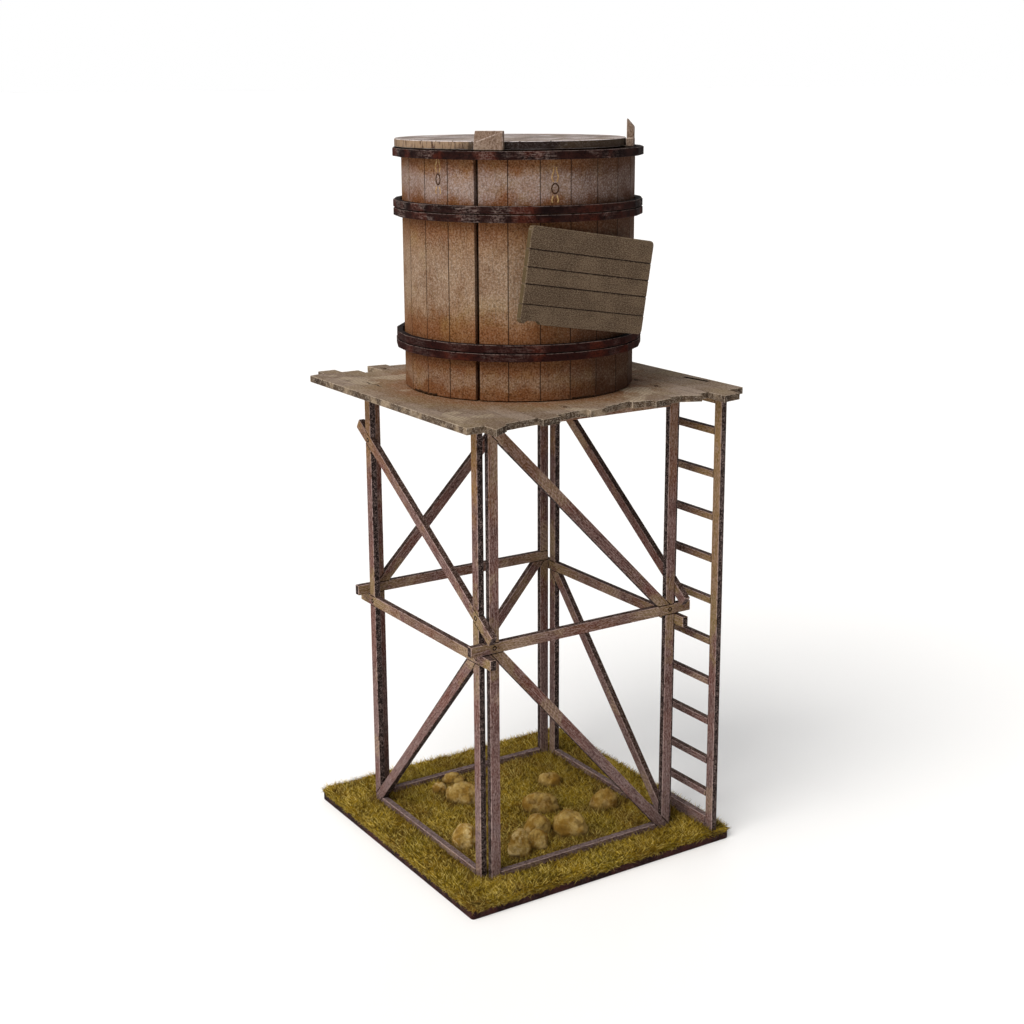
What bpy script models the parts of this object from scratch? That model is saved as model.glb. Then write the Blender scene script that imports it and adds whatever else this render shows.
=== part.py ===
"""Table-top model of a timber water tower, cut from thin board and glued on a square base.

Four lattice sheets carry a plank deck, and the deck carries a staved tank with flat hoops and a lid.
The origin is on the tower's upright axis at the underside of the base, with +Z up. The signboard
faces -Y and the ladder is on the +X side. Sizes below are in millimetres, and heights are measured
from the underside of the base.
"""

import math

import bmesh
import bpy
from mathutils import Matrix, Vector, geometry

MM = 0.001
GAP = 0.3  # between two pieces that touch
SHEET = 2.2  # board of the frames, ladder, sign, tabs and tank wall

# Base
BASE_LOW = (-50.3, -50.2)
BASE_HIGH = (52.2, 54.0)
BASE_THICK = 2.6
BASE_CORNER = 2.0
SEAT = BASE_THICK + GAP  # height at which pieces stand on the base
GRASS_TOP = 4.8
GRASS_EDGE = 0.3  # from the base's edge to the grass mat's

# Side frames
HALF = 38.1  # from the axis to a frame's outer face
BAR = 3.4
BRACE = 3.5
POST_OUTER = HALF - SHEET - GAP  # a frame ends just short of its neighbour's sheet
RAIL_REACH = 42.3  # from the middle to a rail's end where it runs past the posts
FRAME_TOP = 152.9
FOOT_RAIL_TOP = 6.0
RAIL_LOW = 76.3
RAIL_HIGH = 80.05  # the front and back rails pass over those of the sides

# Each frame, seen from outside: its turn about the axis, the height of its middle rail and how far
# that runs to the left, then its braces as centre heights at the left and right outer faces. The
# last pair says how far the upper brace's centre line runs from the middle to the left and to the
# right; None stops it at the post.
FRAMES = {
    "front_frame": (0, RAIL_HIGH, RAIL_REACH, (154.6, 76.7), (86.0, -1.2), (None, None)),
    "right_frame": (90, RAIL_LOW, RAIL_REACH, (88.0, 145.0), (0.0, 82.0), (42.2, None)),
    "back_frame": (180, RAIL_HIGH, POST_OUTER, (156.2, 78.0), (87.6, -0.4), (None, None)),
    "left_frame": (270, RAIL_LOW, RAIL_REACH, (136.8, 88.3), (0.5, 83.8), (41.0, 42.2)),
}
BRACE_INSET = 0.2  # a brace stops this far inside the edge of what it runs into

# Deck: for each plank its left and right edge, then the saw cut at the front from left to right,
# and the cut at the back from left to right
DECK_BOTTOM = 153.2
DECK_THICK = 2.1
DECK_PLANKS = [
    (-52.1, -46.4, -53.4, -53.4, 47.0, 48.4),
    (-46.4, -40.1, -60.0, -55.7, 52.7, 52.7),
    (-40.1, -34.0, -54.4, -53.4, 47.3, 47.3),
    (-34.0, -27.7, -53.4, -52.5, 42.1, 42.1),
    (-27.7, -20.8, -55.4, -54.3, 52.9, 52.2),
    (-20.8, -14.9, -52.0, -50.7, 49.4, 48.7),
    (-14.9, -9.0, -50.5, -50.5, 46.2, 46.8),
    (-9.0, -2.1, -52.7, -51.3, 50.9, 50.2),
    (-2.1, 4.0, -49.8, -48.9, 48.1, 47.3),
    (4.0, 9.1, -48.1, -47.4, 45.6, 45.2),
    (9.1, 15.5, -48.8, -49.7, 51.6, 51.9),
    (15.5, 22.9, -52.2, -50.5, 48.4, 47.4),
    (22.9, 27.8, -49.1, -49.1, 44.3, 44.9),
    (27.8, 33.8, -49.3, -52.0, 47.2, 48.0),
    (33.8, 38.3, -49.6, -48.9, 50.1, 49.5),
    (38.3, 45.6, -57.0, -55.7, 46.4, 45.8),
    (45.6, 52.5, -49.6, -49.1, 48.6, 49.3),
]
DECK_SLOT = [(48.0, -24.4), (49.6, -35.3), (50.5, -35.2), (49.0, -24.3)]

# Ladder: a sheet between the base and the deck's underside, its foot a little further out
LADDER_TOP = (43.95, 152.86)  # inner face and height at the top
LADDER_FOOT = (44.95, SEAT)
LADDER_NEAR = -49.1
LADDER_STILE = 3.4
LADDER_CLEAR = 21.5  # between the stiles
RUNG = 2.2
RUNG_TOPS = [17.4] + [29.3 + 14.16 * step for step in range(9)]
LADDER_SILL_TOP = 8.0
LADDER_HEAD = 2.4

# Tank
TANK_AXIS = (-0.2, 0.05)
STAVES = 24
TANK_RADIUS = 36.6  # at the joints between staves
TANK_BOTTOM = 155.6
TANK_TOP = 229.3
JOINT_ANGLE = 7.5  # a joint between staves, in degrees; the rest follow
SEAM_ANGLE = -142.5
SEAM_WIDTH = 1.05
TANK_FLOOR_RADIUS = 33.7
TANK_FLOOR_THICK = 2.5

# Hoops: bottom, top and turn in degrees from the staves' joints
HOOP_RADIUS = 39.2
HOOP_INNER = TANK_RADIUS + GAP  # to the middle of an inner face
HOOPS = {
    "hoop_top": (227.0, 229.5, -1.0),
    "hoop_middle_upper": (211.55, 213.8, -3.9),
    "hoop_middle_lower": (209.0, 211.25, -2.2),
    "hoop_lower_upper": (170.65, 173.0, 1.7),
    "hoop_lower_lower": (168.0, 170.35, 4.0),
}

# Lid and the tabs on the rim
LID_CENTRE = (-2.2, 1.35)
LID_RADIUS = 36.05
LID_BOTTOM = 229.8
LID_THICK = 2.4
FRONT_TAB_ANGLE = -135.5
FRONT_TAB_RADIUS = 36.9
FRONT_TAB_HALF = 4.35
FRONT_TAB_BOTTOM = 229.8
FRONT_TAB_TOP = 235.2
FRONT_TAB_CUT = (231.8, 235.0)  # the outer face's top, from left to right
RIGHT_TAB_ANGLE = -41.5
RIGHT_TAB_RADIUS = 34.1
RIGHT_TAB_BOTTOM = 229.6
RIGHT_TAB_FOOT_TOP = 232.0
RIGHT_TAB_TOP = 237.9
RIGHT_TAB_CUT = 235.4
RIGHT_TAB_FOOT = (-4.0, 3.0)
RIGHT_TAB_STAKE = (-1.5, 2.0)

# Signboard
SIGN_SIZE = (45.0, 28.5)
SIGN_CENTRE = (-0.2, 191.2)
SIGN_BACK = -36.55
SIGN_TURN = 9.2
SIGN_CORNER = 1.2
SIGN_NOTCH = (-21.0, -15.0, 0.9)

# Stones: centre, half width, half depth and height above the base, seen from the front left corner
STONES = [
    (-30.6, -13.0, 5.0, 3.6, 9.2),
    (-12.6, 17.4, 6.6, 5.2, 7.6),
    (-16.6, 27.6, 2.9, 2.4, 4.6),
    (-8.6, 31.0, 4.6, 3.6, 5.4),
    (-19.4, -28.9, 4.0, 3.0, 10.6),
    (-11.0, -27.2, 3.9, 3.1, 7.9),
    (-5.6, -18.4, 4.7, 4.0, 8.2),
    (5.2, -4.6, 6.5, 3.4, 8.0),
    (4.0, -24.2, 6.2, 5.0, 8.9),
    (20.5, 11.8, 4.6, 3.8, 5.2),
    (25.6, -13.9, 5.2, 4.2, 7.2),
]
STONE_TURN = -32.6
STONE_SEGMENTS = 18
STONE_RINGS = 11
STONE_FULL = 2.2  # 2 would be an ellipsoid; more fills out its shoulders
STONE_CLEAR = 0.4  # between a stone and the grass mat

WOOD_DARK = (0.16, 0.105, 0.085)
WOOD_GREY = (0.33, 0.28, 0.23)
WOOD_TAN = (0.33, 0.19, 0.10)
HOOP_DARK = (0.09, 0.055, 0.045)
GRASS = (0.24, 0.20, 0.05)
STONE = (0.36, 0.28, 0.14)


def clear_scene():
    """Removes the objects of the start-up scene."""
    for thing in list(bpy.data.objects):
        bpy.data.objects.remove(thing, do_unlink=True)


def make_material(name, colour, roughness=0.8):
    """A Principled material of one colour."""
    material = bpy.data.materials.new(name)
    material.use_nodes = True
    shader = material.node_tree.nodes["Principled BSDF"]
    shader.inputs["Base Color"].default_value = (*colour, 1.0)
    shader.inputs["Roughness"].default_value = roughness
    shader.inputs["Metallic"].default_value = 0.0
    return material


def add_object(name, data, collection, colour):
    """An object of the given mesh or curve, with a material of its own."""
    thing = bpy.data.objects.new(name, data)
    collection.objects.link(thing)
    data.materials.append(make_material(name, colour))
    return thing


def outline_curve(name, outline, thickness, holes=()):
    """A flat sheet as a 2D curve: outline and holes in millimetres, centred on its own XY plane."""
    curve = bpy.data.curves.new(name, "CURVE")
    curve.dimensions = "2D"
    curve.fill_mode = "BOTH"
    curve.extrude = thickness / 2 * MM
    for points in (outline, *holes):
        spline = curve.splines.new("POLY")
        spline.points.add(len(points) - 1)
        for point, (x, y) in zip(spline.points, points):
            point.co = (x * MM, y * MM, 0, 1)
        spline.use_cyclic_u = True
    return curve


def rounded_corners(low, high, radius, steps=4):
    """The outline of a rectangle with round corners."""
    points = []
    corners = ((high[0], high[1], 0), (low[0], high[1], 90), (low[0], low[1], 180), (high[0], low[1], 270))
    for x, y, start in corners:
        centre_x = x - math.copysign(radius, x - (low[0] + high[0]) / 2)
        centre_y = y - math.copysign(radius, y - (low[1] + high[1]) / 2)
        for step in range(steps + 1):
            angle = math.radians(start + 90 * step / steps)
            points.append((centre_x + radius * math.cos(angle), centre_y + radius * math.sin(angle)))
    return points


def rectangle(low_x, high_x, low_y, high_y):
    """The four corners of a rectangle."""
    return [(low_x, low_y), (high_x, low_y), (high_x, high_y), (low_x, high_y)]


def polygon_ring(radius, first_angle, sides=STAVES):
    """The corners of a regular polygon, in degrees from first_angle."""
    corners = []
    for step in range(sides):
        angle = math.radians(first_angle + 360 / sides * step)
        corners.append((radius * math.cos(angle), radius * math.sin(angle)))
    return corners


def box_mesh(low, high):
    """A bmesh box between two corners in millimetres."""
    shape = bmesh.new()
    size = Vector(high) - Vector(low)
    middle = (Vector(high) + Vector(low)) / 2
    place = Matrix.Translation(middle * MM) @ Matrix.Diagonal((*(size * MM), 1))
    bmesh.ops.create_cube(shape, size=1.0, matrix=place)
    return shape


def trim(shape, point, outward):
    """Cuts away what lies beyond a plane, given in millimetres, and closes the cut."""
    everything = shape.verts[:] + shape.edges[:] + shape.faces[:]
    bmesh.ops.bisect_plane(shape, geom=everything, plane_co=Vector(point) * MM, plane_no=outward,
                           clear_outer=True)
    open_edges = [edge for edge in shape.edges if edge.is_boundary]
    bmesh.ops.holes_fill(shape, edges=open_edges)
    bmesh.ops.recalc_face_normals(shape, faces=shape.faces)


def to_mesh(shape, name):
    """A mesh from a bmesh, which is freed."""
    mesh = bpy.data.meshes.new(name)
    shape.to_mesh(mesh)
    shape.free()
    return mesh


def brace_bar(ends, left_reach, right_reach, bottom, top):
    """A slanting bar of a frame. Its centre line has the heights of ends at the outer faces."""
    rise = (ends[1] - ends[0]) / (2 * HALF)
    slope = math.atan(rise)
    middle = (ends[0] + ends[1]) / 2
    spare = 2 * BRACE  # cut off again where the bar stops at a post
    left = left_reach or POST_OUTER + spare
    right = right_reach or POST_OUTER + spare
    shape = box_mesh((-left / math.cos(slope), 0, -BRACE / 2), (right / math.cos(slope), SHEET, BRACE / 2))
    lift = Matrix.Translation((0, 0, middle * MM)) @ Matrix.Rotation(-slope, 4, "Y")
    bmesh.ops.transform(shape, matrix=lift, verts=shape.verts)
    if left_reach is None:
        trim(shape, (-POST_OUTER + BRACE_INSET, 0, 0), (-1, 0, 0))
    if right_reach is None:
        trim(shape, (POST_OUTER - BRACE_INSET, 0, 0), (1, 0, 0))
    trim(shape, (0, 0, bottom + BRACE_INSET), (0, 0, -1))
    trim(shape, (0, 0, top - BRACE_INSET), (0, 0, 1))
    return shape


def combine(name, shapes, collection, helpers, colour, operation="UNION"):
    """Joins overlapping solids, or cuts the later ones out of the first, and leaves one object."""
    first = add_object(name, to_mesh(shapes[0], name), collection, colour)
    others = []
    for number, shape in enumerate(shapes[1:], 1):
        other = bpy.data.objects.new(f"{name}_bar_{number}", to_mesh(shape, f"{name}_bar_{number}"))
        helpers.objects.link(other)
        joint = first.modifiers.new(f"bar_{number}", "BOOLEAN")
        joint.operation = operation
        joint.solver = "EXACT"
        joint.object = other
        others.append(other)
    graph = bpy.context.evaluated_depsgraph_get()
    fused = bpy.data.meshes.new_from_object(first.evaluated_get(graph))
    first.modifiers.clear()
    first.data = fused
    for other in others:
        bpy.data.objects.remove(other, do_unlink=True)
    return first


def build_base(parts):
    """The square board that everything stands on, and the grass mat round the tower's foot."""
    outline = rounded_corners(BASE_LOW, BASE_HIGH, BASE_CORNER)
    base = add_object("base_plate", outline_curve("base_plate", outline, BASE_THICK), parts, HOOP_DARK)
    base.location.z = BASE_THICK / 2 * MM

    low = [value + GRASS_EDGE for value in BASE_LOW]
    high = [value - GRASS_EDGE for value in BASE_HIGH]
    clear = HALF + GAP
    ladder_end = LADDER_NEAR + 2 * LADDER_STILE + LADDER_CLEAR + GAP
    outline = rounded_corners(low, high, BASE_CORNER)
    slot_low, slot_high = LADDER_FOOT[0] - GAP, LADDER_FOOT[0] + SHEET + GAP
    slot = [(slot_low, low[1]), (slot_low, ladder_end), (slot_high, ladder_end), (slot_high, low[1])]
    at_front_right = next(number for number, (x, y) in enumerate(outline) if x > 0 and y == low[1])
    outline[at_front_right:at_front_right] = slot
    thick = GRASS_TOP - SEAT
    holes = [rectangle(-clear, clear, -clear, clear)]
    grass = add_object("grass_border", outline_curve("grass_border", outline, thick, holes), parts, GRASS)
    grass.location.z = (SEAT + thick / 2) * MM


def build_frame(name, parts, helpers):
    """One side of the tower: posts, rails and braces in one sheet."""
    turn, rail, rail_left, upper, lower, reaches = FRAMES[name]
    inner = POST_OUTER - BAR
    bars = [
        box_mesh((-POST_OUTER, 0, SEAT), (-inner, SHEET, FRAME_TOP)),
        box_mesh((inner, 0, SEAT), (POST_OUTER, SHEET, FRAME_TOP)),
        box_mesh((-inner - BAR / 2, 0, SEAT), (inner + BAR / 2, SHEET, FOOT_RAIL_TOP)),
        box_mesh((-rail_left, 0, rail), (RAIL_REACH, SHEET, rail + BAR)),
        box_mesh((-inner - BAR / 2, 0, FRAME_TOP - BAR), (inner + BAR / 2, SHEET, FRAME_TOP)),
        brace_bar(upper, reaches[0], reaches[1], rail, FRAME_TOP),
        brace_bar(lower, None, None, SEAT, rail + BAR),
    ]
    frame = combine(name, bars, parts, helpers, WOOD_DARK)
    angle = math.radians(turn)
    frame.rotation_euler.z = angle
    frame.location = Vector((math.sin(angle), -math.cos(angle), 0)) * HALF * MM


def build_deck(parts):
    """The plank deck, one sheet with the planks' uneven ends."""
    front = []
    back = []
    for left, right, front_left, front_right, back_left, back_right in DECK_PLANKS:
        front += [(left, front_left), (right, front_right)]
        back += [(left, back_left), (right, back_right)]
    outline = []
    for point in front + back[::-1]:
        if not outline or outline[-1] != point:
            outline.append(point)
    deck = add_object("deck", outline_curve("deck", outline, DECK_THICK, [DECK_SLOT]), parts, WOOD_GREY)
    deck.location.z = (DECK_BOTTOM + DECK_THICK / 2) * MM


def build_ladder(parts):
    """The ladder, leaning out a little from its head to its foot."""
    rise = LADDER_TOP[1] - LADDER_FOOT[1]
    lean = math.atan((LADDER_FOOT[0] - LADDER_TOP[0]) / rise)
    wide = 2 * LADDER_STILE + LADDER_CLEAR
    holes = []
    floors = [LADDER_SILL_TOP] + RUNG_TOPS
    ceilings = [top - RUNG for top in RUNG_TOPS] + [LADDER_TOP[1] - LADDER_HEAD]
    for floor, ceiling in zip(floors, ceilings):
        holes.append(rectangle(LADDER_STILE, LADDER_STILE + LADDER_CLEAR, floor - SEAT, ceiling - SEAT))
    curve = outline_curve("ladder", rectangle(0, wide, 0, rise), SHEET, holes)
    ladder = add_object("ladder", curve, parts, WOOD_DARK)
    upright = Matrix(((0, 0, 1, 0), (1, 0, 0, 0), (0, 1, 0, 0), (0, 0, 0, 1)))
    thick = Matrix.Translation((SHEET / 2 * MM, 0, 0))
    slant = Matrix.Rotation(-lean, 4, "Y")
    foot = Matrix.Translation(Vector((LADDER_FOOT[0], LADDER_NEAR, LADDER_FOOT[1])) * MM)
    ladder.matrix_world = foot @ slant @ thick @ upright


def seam_points(radius):
    """The two ends of a staved ring of that corner radius, at the open joint."""
    ends = []
    for side in (1, -1):
        half = side * SEAM_WIDTH / 2
        facet = side * math.pi / STAVES
        depth = radius - abs(half) * math.tan(abs(facet))
        angle = math.radians(SEAM_ANGLE)
        across = (-math.sin(angle) * half, math.cos(angle) * half)
        ends.append((depth * math.cos(angle) + across[0], depth * math.sin(angle) + across[1]))
    return ends


def build_tank(parts):
    """The tank's wall of flat staves with its open joint, and the floor inside its foot."""
    facet = math.pi / STAVES
    inner_radius = TANK_RADIUS - SHEET / math.cos(facet)
    outer = polygon_ring(TANK_RADIUS, SEAM_ANGLE)[1:]
    inner = polygon_ring(inner_radius, SEAM_ANGLE)[1:]
    outer_ends = seam_points(TANK_RADIUS)
    inner_ends = seam_points(inner_radius)
    outline = [outer_ends[0], *outer, outer_ends[1], inner_ends[1], *inner[::-1], inner_ends[0]]
    height = TANK_TOP - TANK_BOTTOM
    wall = add_object("tank_wall", outline_curve("tank_wall", outline, height), parts, WOOD_TAN)
    wall.location = Vector((*TANK_AXIS, TANK_BOTTOM + height / 2)) * MM
    add_disc("tank_floor", TANK_AXIS, TANK_FLOOR_RADIUS, TANK_BOTTOM, TANK_FLOOR_THICK, parts)


def add_disc(name, centre, radius, bottom, thick, parts):
    """A round board."""
    shape = bmesh.new()
    place = Matrix.Translation(Vector((*centre, bottom + thick / 2)) * MM)
    bmesh.ops.create_cone(shape, cap_ends=True, segments=64, radius1=radius * MM, radius2=radius * MM,
                          depth=thick * MM, matrix=place)
    mesh = to_mesh(shape, name)
    mesh.shade_smooth()
    mesh.set_sharp_from_angle(angle=math.radians(40))
    return add_object(name, mesh, parts, WOOD_GREY)


def build_hoops(parts):
    """Flat rings round the staves."""
    facet = math.pi / STAVES
    for name, (bottom, top, turn) in HOOPS.items():
        outer = polygon_ring(HOOP_RADIUS, JOINT_ANGLE + turn)
        inner = polygon_ring(HOOP_INNER / math.cos(facet), JOINT_ANGLE + turn)
        hoop = add_object(name, outline_curve(name, outer, top - bottom, [inner]), parts, HOOP_DARK)
        hoop.location = Vector((*TANK_AXIS, (bottom + top) / 2)) * MM


def place_on_rim(tab, angle):
    """Turns a tab built outwards along +X to its place round the tank."""
    turn = Matrix.Rotation(math.radians(angle), 4, "Z")
    tab.matrix_world = Matrix.Translation(Vector((*TANK_AXIS, 0)) * MM) @ turn


def build_tabs(parts, helpers):
    """The two upright tabs, one beside the lid and one cut back to a stake."""
    low = (FRONT_TAB_RADIUS, -FRONT_TAB_HALF, FRONT_TAB_BOTTOM)
    high = (FRONT_TAB_RADIUS + SHEET, FRONT_TAB_HALF, FRONT_TAB_TOP)
    shape = box_mesh(low, high)
    corner_left = Vector((high[0], low[1], FRONT_TAB_CUT[0]))
    corner_right = Vector((high[0], high[1], FRONT_TAB_CUT[1]))
    inner_left = Vector((low[0] + SHEET / 4, low[1], FRONT_TAB_TOP))
    trim(shape, corner_left, (corner_right - corner_left).cross(inner_left - corner_left).normalized())
    front = add_object("lid_tab_front", to_mesh(shape, "lid_tab_front"), parts, WOOD_DARK)
    place_on_rim(front, FRONT_TAB_ANGLE)

    near, far = RIGHT_TAB_RADIUS, RIGHT_TAB_RADIUS + SHEET
    bottom = RIGHT_TAB_BOTTOM
    foot = box_mesh((near, RIGHT_TAB_FOOT[0], bottom), (far, RIGHT_TAB_FOOT[1], RIGHT_TAB_FOOT_TOP))
    stake = box_mesh((near, RIGHT_TAB_STAKE[0], bottom + GAP), (far, RIGHT_TAB_STAKE[1], RIGHT_TAB_TOP))
    fall = RIGHT_TAB_TOP - RIGHT_TAB_CUT
    trim(stake, (far, 0, RIGHT_TAB_CUT), Vector((fall, 0, SHEET)).normalized())
    right = combine("lid_tab_right", [foot, stake], parts, helpers, WOOD_DARK)
    place_on_rim(right, RIGHT_TAB_ANGLE)


def build_sign(parts):
    """The bare signboard, flat against the staves and slanting down to the right."""
    half_wide, half_high = SIGN_SIZE[0] / 2, SIGN_SIZE[1] / 2
    outline = rounded_corners((-half_wide, -half_high), (half_wide, half_high), SIGN_CORNER, steps=2)
    left, right, deep = SIGN_NOTCH
    floor = -half_high + deep
    notch = [(left, -half_high), (left + deep, floor), (right - deep, floor), (right, -half_high)]
    at_bottom_right = next(number for number, (x, y) in enumerate(outline) if x > 0 and y == -half_high)
    outline[at_bottom_right:at_bottom_right] = notch
    sign = add_object("signboard", outline_curve("signboard", outline, SHEET), parts, WOOD_GREY)
    stand = Matrix.Rotation(math.radians(90), 4, "X")
    slant = Matrix.Rotation(math.radians(SIGN_TURN), 4, "Y")
    middle = Vector((SIGN_CENTRE[0], SIGN_BACK - SHEET / 2, SIGN_CENTRE[1])) * MM
    sign.matrix_world = Matrix.Translation(middle) @ slant @ stand


def build_grass_inside(stones, parts, helpers):
    """The grass mat between the four frames, cut out round each stone."""
    reach = HALF - SHEET - GAP
    shapes = [box_mesh((-reach, -reach, SEAT), (reach, reach, GRASS_TOP))]
    for stone in stones:
        points = [Vector((vert.co.x, vert.co.y)) / MM for vert in stone.data.vertices]
        middle = sum(points, Vector((0, 0))) / len(points)
        hull = [points[index] for index in geometry.convex_hull_2d(points)]
        shape = bmesh.new()
        floor = []
        for point in hull:
            away = point - middle
            x, y = point + away.normalized() * STONE_CLEAR
            floor.append(shape.verts.new(Vector((x, y, SEAT - GAP)) * MM))
        made = bmesh.ops.extrude_face_region(shape, geom=[shape.faces.new(floor)])
        raised = [item for item in made["geom"] if isinstance(item, bmesh.types.BMVert)]
        bmesh.ops.translate(shape, vec=(0, 0, (GRASS_TOP - SEAT + 2 * GAP) * MM), verts=raised)
        bmesh.ops.recalc_face_normals(shape, faces=shape.faces)
        shapes.append(shape)
    combine("grass_inside", shapes, parts, helpers, GRASS, "DIFFERENCE")


def build_stone(number, parts):
    """A rounded stone with a flat bed, its lumps worked out from its number."""
    x, y, half_wide, half_deep, high = STONES[number]
    shape = bmesh.new()
    bmesh.ops.create_uvsphere(shape, u_segments=STONE_SEGMENTS, v_segments=STONE_RINGS, radius=1.0)
    for vert in shape.verts:
        side = Vector(vert.co)
        full = sum(abs(value) ** STONE_FULL for value in side) ** (-1 / STONE_FULL)
        lump = math.sin(2.3 * side.x + number) * math.cos(1.9 * side.y + 2.1 * number)
        lump += 0.6 * math.sin(3.1 * side.z + 1.7 * number + side.x)
        vert.co = side * full * (1 + 0.07 * lump)
    reach = [max(abs(vert.co[axis]) for vert in shape.verts) for axis in (0, 1)]
    crown = max(vert.co.z for vert in shape.verts)
    middle = 0.3 * high  # the widest level; the bed cuts the shape below it
    size = Vector((half_wide / reach[0], half_deep / reach[1], (high - middle) / crown)) * MM
    turn = Matrix.Rotation(math.radians(STONE_TURN), 4, "Z")
    place = Matrix.Translation(Vector((x, y, SEAT + middle)) * MM) @ turn @ Matrix.Diagonal((*size, 1))
    bmesh.ops.transform(shape, matrix=place, verts=shape.verts)
    trim(shape, (x, y, SEAT), (0, 0, -1))
    name = f"stone_{number + 1:02d}"
    mesh = to_mesh(shape, name)
    mesh.shade_smooth()
    mesh.set_sharp_from_angle(angle=math.radians(50))
    return add_object(name, mesh, parts, STONE)


def main():
    """Builds every piece."""
    clear_scene()
    parts = bpy.data.collections.new("water_tower")
    helpers = bpy.data.collections.new("helpers")
    for collection in (parts, helpers):
        bpy.context.scene.collection.children.link(collection)
    build_base(parts)
    for name in FRAMES:
        build_frame(name, parts, helpers)
    build_deck(parts)
    build_ladder(parts)
    build_tank(parts)
    build_hoops(parts)
    add_disc("tank_lid", LID_CENTRE, LID_RADIUS, LID_BOTTOM, LID_THICK, parts)
    build_tabs(parts, helpers)
    build_sign(parts)
    stones = [build_stone(number, parts) for number in range(len(STONES))]
    build_grass_inside(stones, parts, helpers)


main()
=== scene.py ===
"""Looks of a painted table-top timber water tower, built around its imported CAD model.

Everything below is in millimetres, in the CAD's frame: the origin is at the underside of the base on
the tower's axis, +Z is up, -Y is the side with the signboard and +X the side with the ladder.
"""

import math

import bmesh
import bpy
import numpy as np
from mathutils import Matrix, Vector, noise


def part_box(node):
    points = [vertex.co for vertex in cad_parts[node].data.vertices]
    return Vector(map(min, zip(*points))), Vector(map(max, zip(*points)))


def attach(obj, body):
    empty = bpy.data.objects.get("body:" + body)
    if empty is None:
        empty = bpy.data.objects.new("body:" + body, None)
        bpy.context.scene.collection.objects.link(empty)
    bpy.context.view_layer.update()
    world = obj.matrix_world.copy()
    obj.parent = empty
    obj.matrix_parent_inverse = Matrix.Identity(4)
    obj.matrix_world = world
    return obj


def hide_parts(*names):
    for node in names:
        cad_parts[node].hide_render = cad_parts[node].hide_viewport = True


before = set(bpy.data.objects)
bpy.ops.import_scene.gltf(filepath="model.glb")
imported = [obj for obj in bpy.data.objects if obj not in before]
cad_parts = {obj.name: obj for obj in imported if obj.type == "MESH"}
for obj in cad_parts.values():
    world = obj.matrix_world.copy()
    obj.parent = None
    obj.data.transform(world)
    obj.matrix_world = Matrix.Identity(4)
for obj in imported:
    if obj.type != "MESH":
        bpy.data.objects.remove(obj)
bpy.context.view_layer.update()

MM = 0.001
SEED = 7
CHAMFER = 0.16  # on the arris of every board; two of them make the groove between neighbours
TOUCH = 0.08  # how near boards lie that share a joint
WELD = 0.01 * MM  # how near the points of a CAD mesh lie that are one corner

# Side frames
SHEET = 2.2
HALF = 38.1  # from the axis to a frame's outer face
BAR = 3.4
BRACE = 3.5
POST_OUTER = HALF - SHEET - 0.3
FRAME_FOOT = 2.9
FRAME_TOP = 152.9
FOOT_RAIL_TOP = 6.0
RAIL_REACH = 42.3
RAIL_LOW = 76.3
RAIL_HIGH = 80.05
BRACE_INSET = 0.2
SLIVER = 0.25  # area of an off-cut that isn't worth a board
# Turn, height of the middle rail and its reach to the left, then the upper and the lower brace as
# centre heights at the left and right outer faces, and the upper brace's reach past the posts
FRAMES = {
    "front_frame": (0, RAIL_HIGH, RAIL_REACH, (154.6, 76.7), (86.0, -1.2), (None, None)),
    "right_frame": (90, RAIL_LOW, RAIL_REACH, (88.0, 145.0), (0.0, 82.0), (42.2, None)),
    "back_frame": (180, RAIL_HIGH, POST_OUTER, (156.2, 78.0), (87.6, -0.4), (None, None)),
    "left_frame": (270, RAIL_LOW, RAIL_REACH, (136.8, 88.3), (0.5, 83.8), (41.0, 42.2)),
}
BOLT_RADIUS = 0.6

# Deck: each plank's left and right edge, its saw cut at the front from left to right, and at the back
DECK_PLANKS = [
    (-52.1, -46.4, -53.4, -53.4, 47.0, 48.4),
    (-46.4, -40.1, -60.0, -55.7, 52.7, 52.7),
    (-40.1, -34.0, -54.4, -53.4, 47.3, 47.3),
    (-34.0, -27.7, -53.4, -52.5, 42.1, 42.1),
    (-27.7, -20.8, -55.4, -54.3, 52.9, 52.2),
    (-20.8, -14.9, -52.0, -50.7, 49.4, 48.7),
    (-14.9, -9.0, -50.5, -50.5, 46.2, 46.8),
    (-9.0, -2.1, -52.7, -51.3, 50.9, 50.2),
    (-2.1, 4.0, -49.8, -48.9, 48.1, 47.3),
    (4.0, 9.1, -48.1, -47.4, 45.6, 45.2),
    (9.1, 15.5, -48.8, -49.7, 51.6, 51.9),
    (15.5, 22.9, -52.2, -50.5, 48.4, 47.4),
    (22.9, 27.8, -49.1, -49.1, 44.3, 44.9),
    (27.8, 33.8, -49.3, -52.0, 47.2, 48.0),
    (33.8, 38.3, -49.6, -48.9, 50.1, 49.5),
    (38.3, 45.6, -57.0, -55.7, 46.4, 45.8),
    (45.6, 52.5, -49.6, -49.1, 48.6, 49.3),
]
DECK_SLOT = [(47.6, -24.4), (49.1, -35.4), (50.8, -35.1), (49.4, -24.2)]
# The split's corners from back to front, its half width in the middle and its depth
DECK_SPLIT = [(-42.7, 28.5), (-42.1, 25.2), (-42.6, 22.6), (-41.6, 19.8), (-42.1, 17.2), (-41.7, 14.3)]
DECK_SPLIT_HALF = 0.24
DECK_SPLIT_DEEP = 0.9
DECK_KNOTS = [(-12.1, -43.9), (32.2, -20.0), (31.1, -32.0), (-25.4, 44.6), (24.9, 40.1)]
DECK_CHAMFER = 0.11
APART = 0.02  # to each side of a joint, so that neighbouring planks don't share a face

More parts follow.
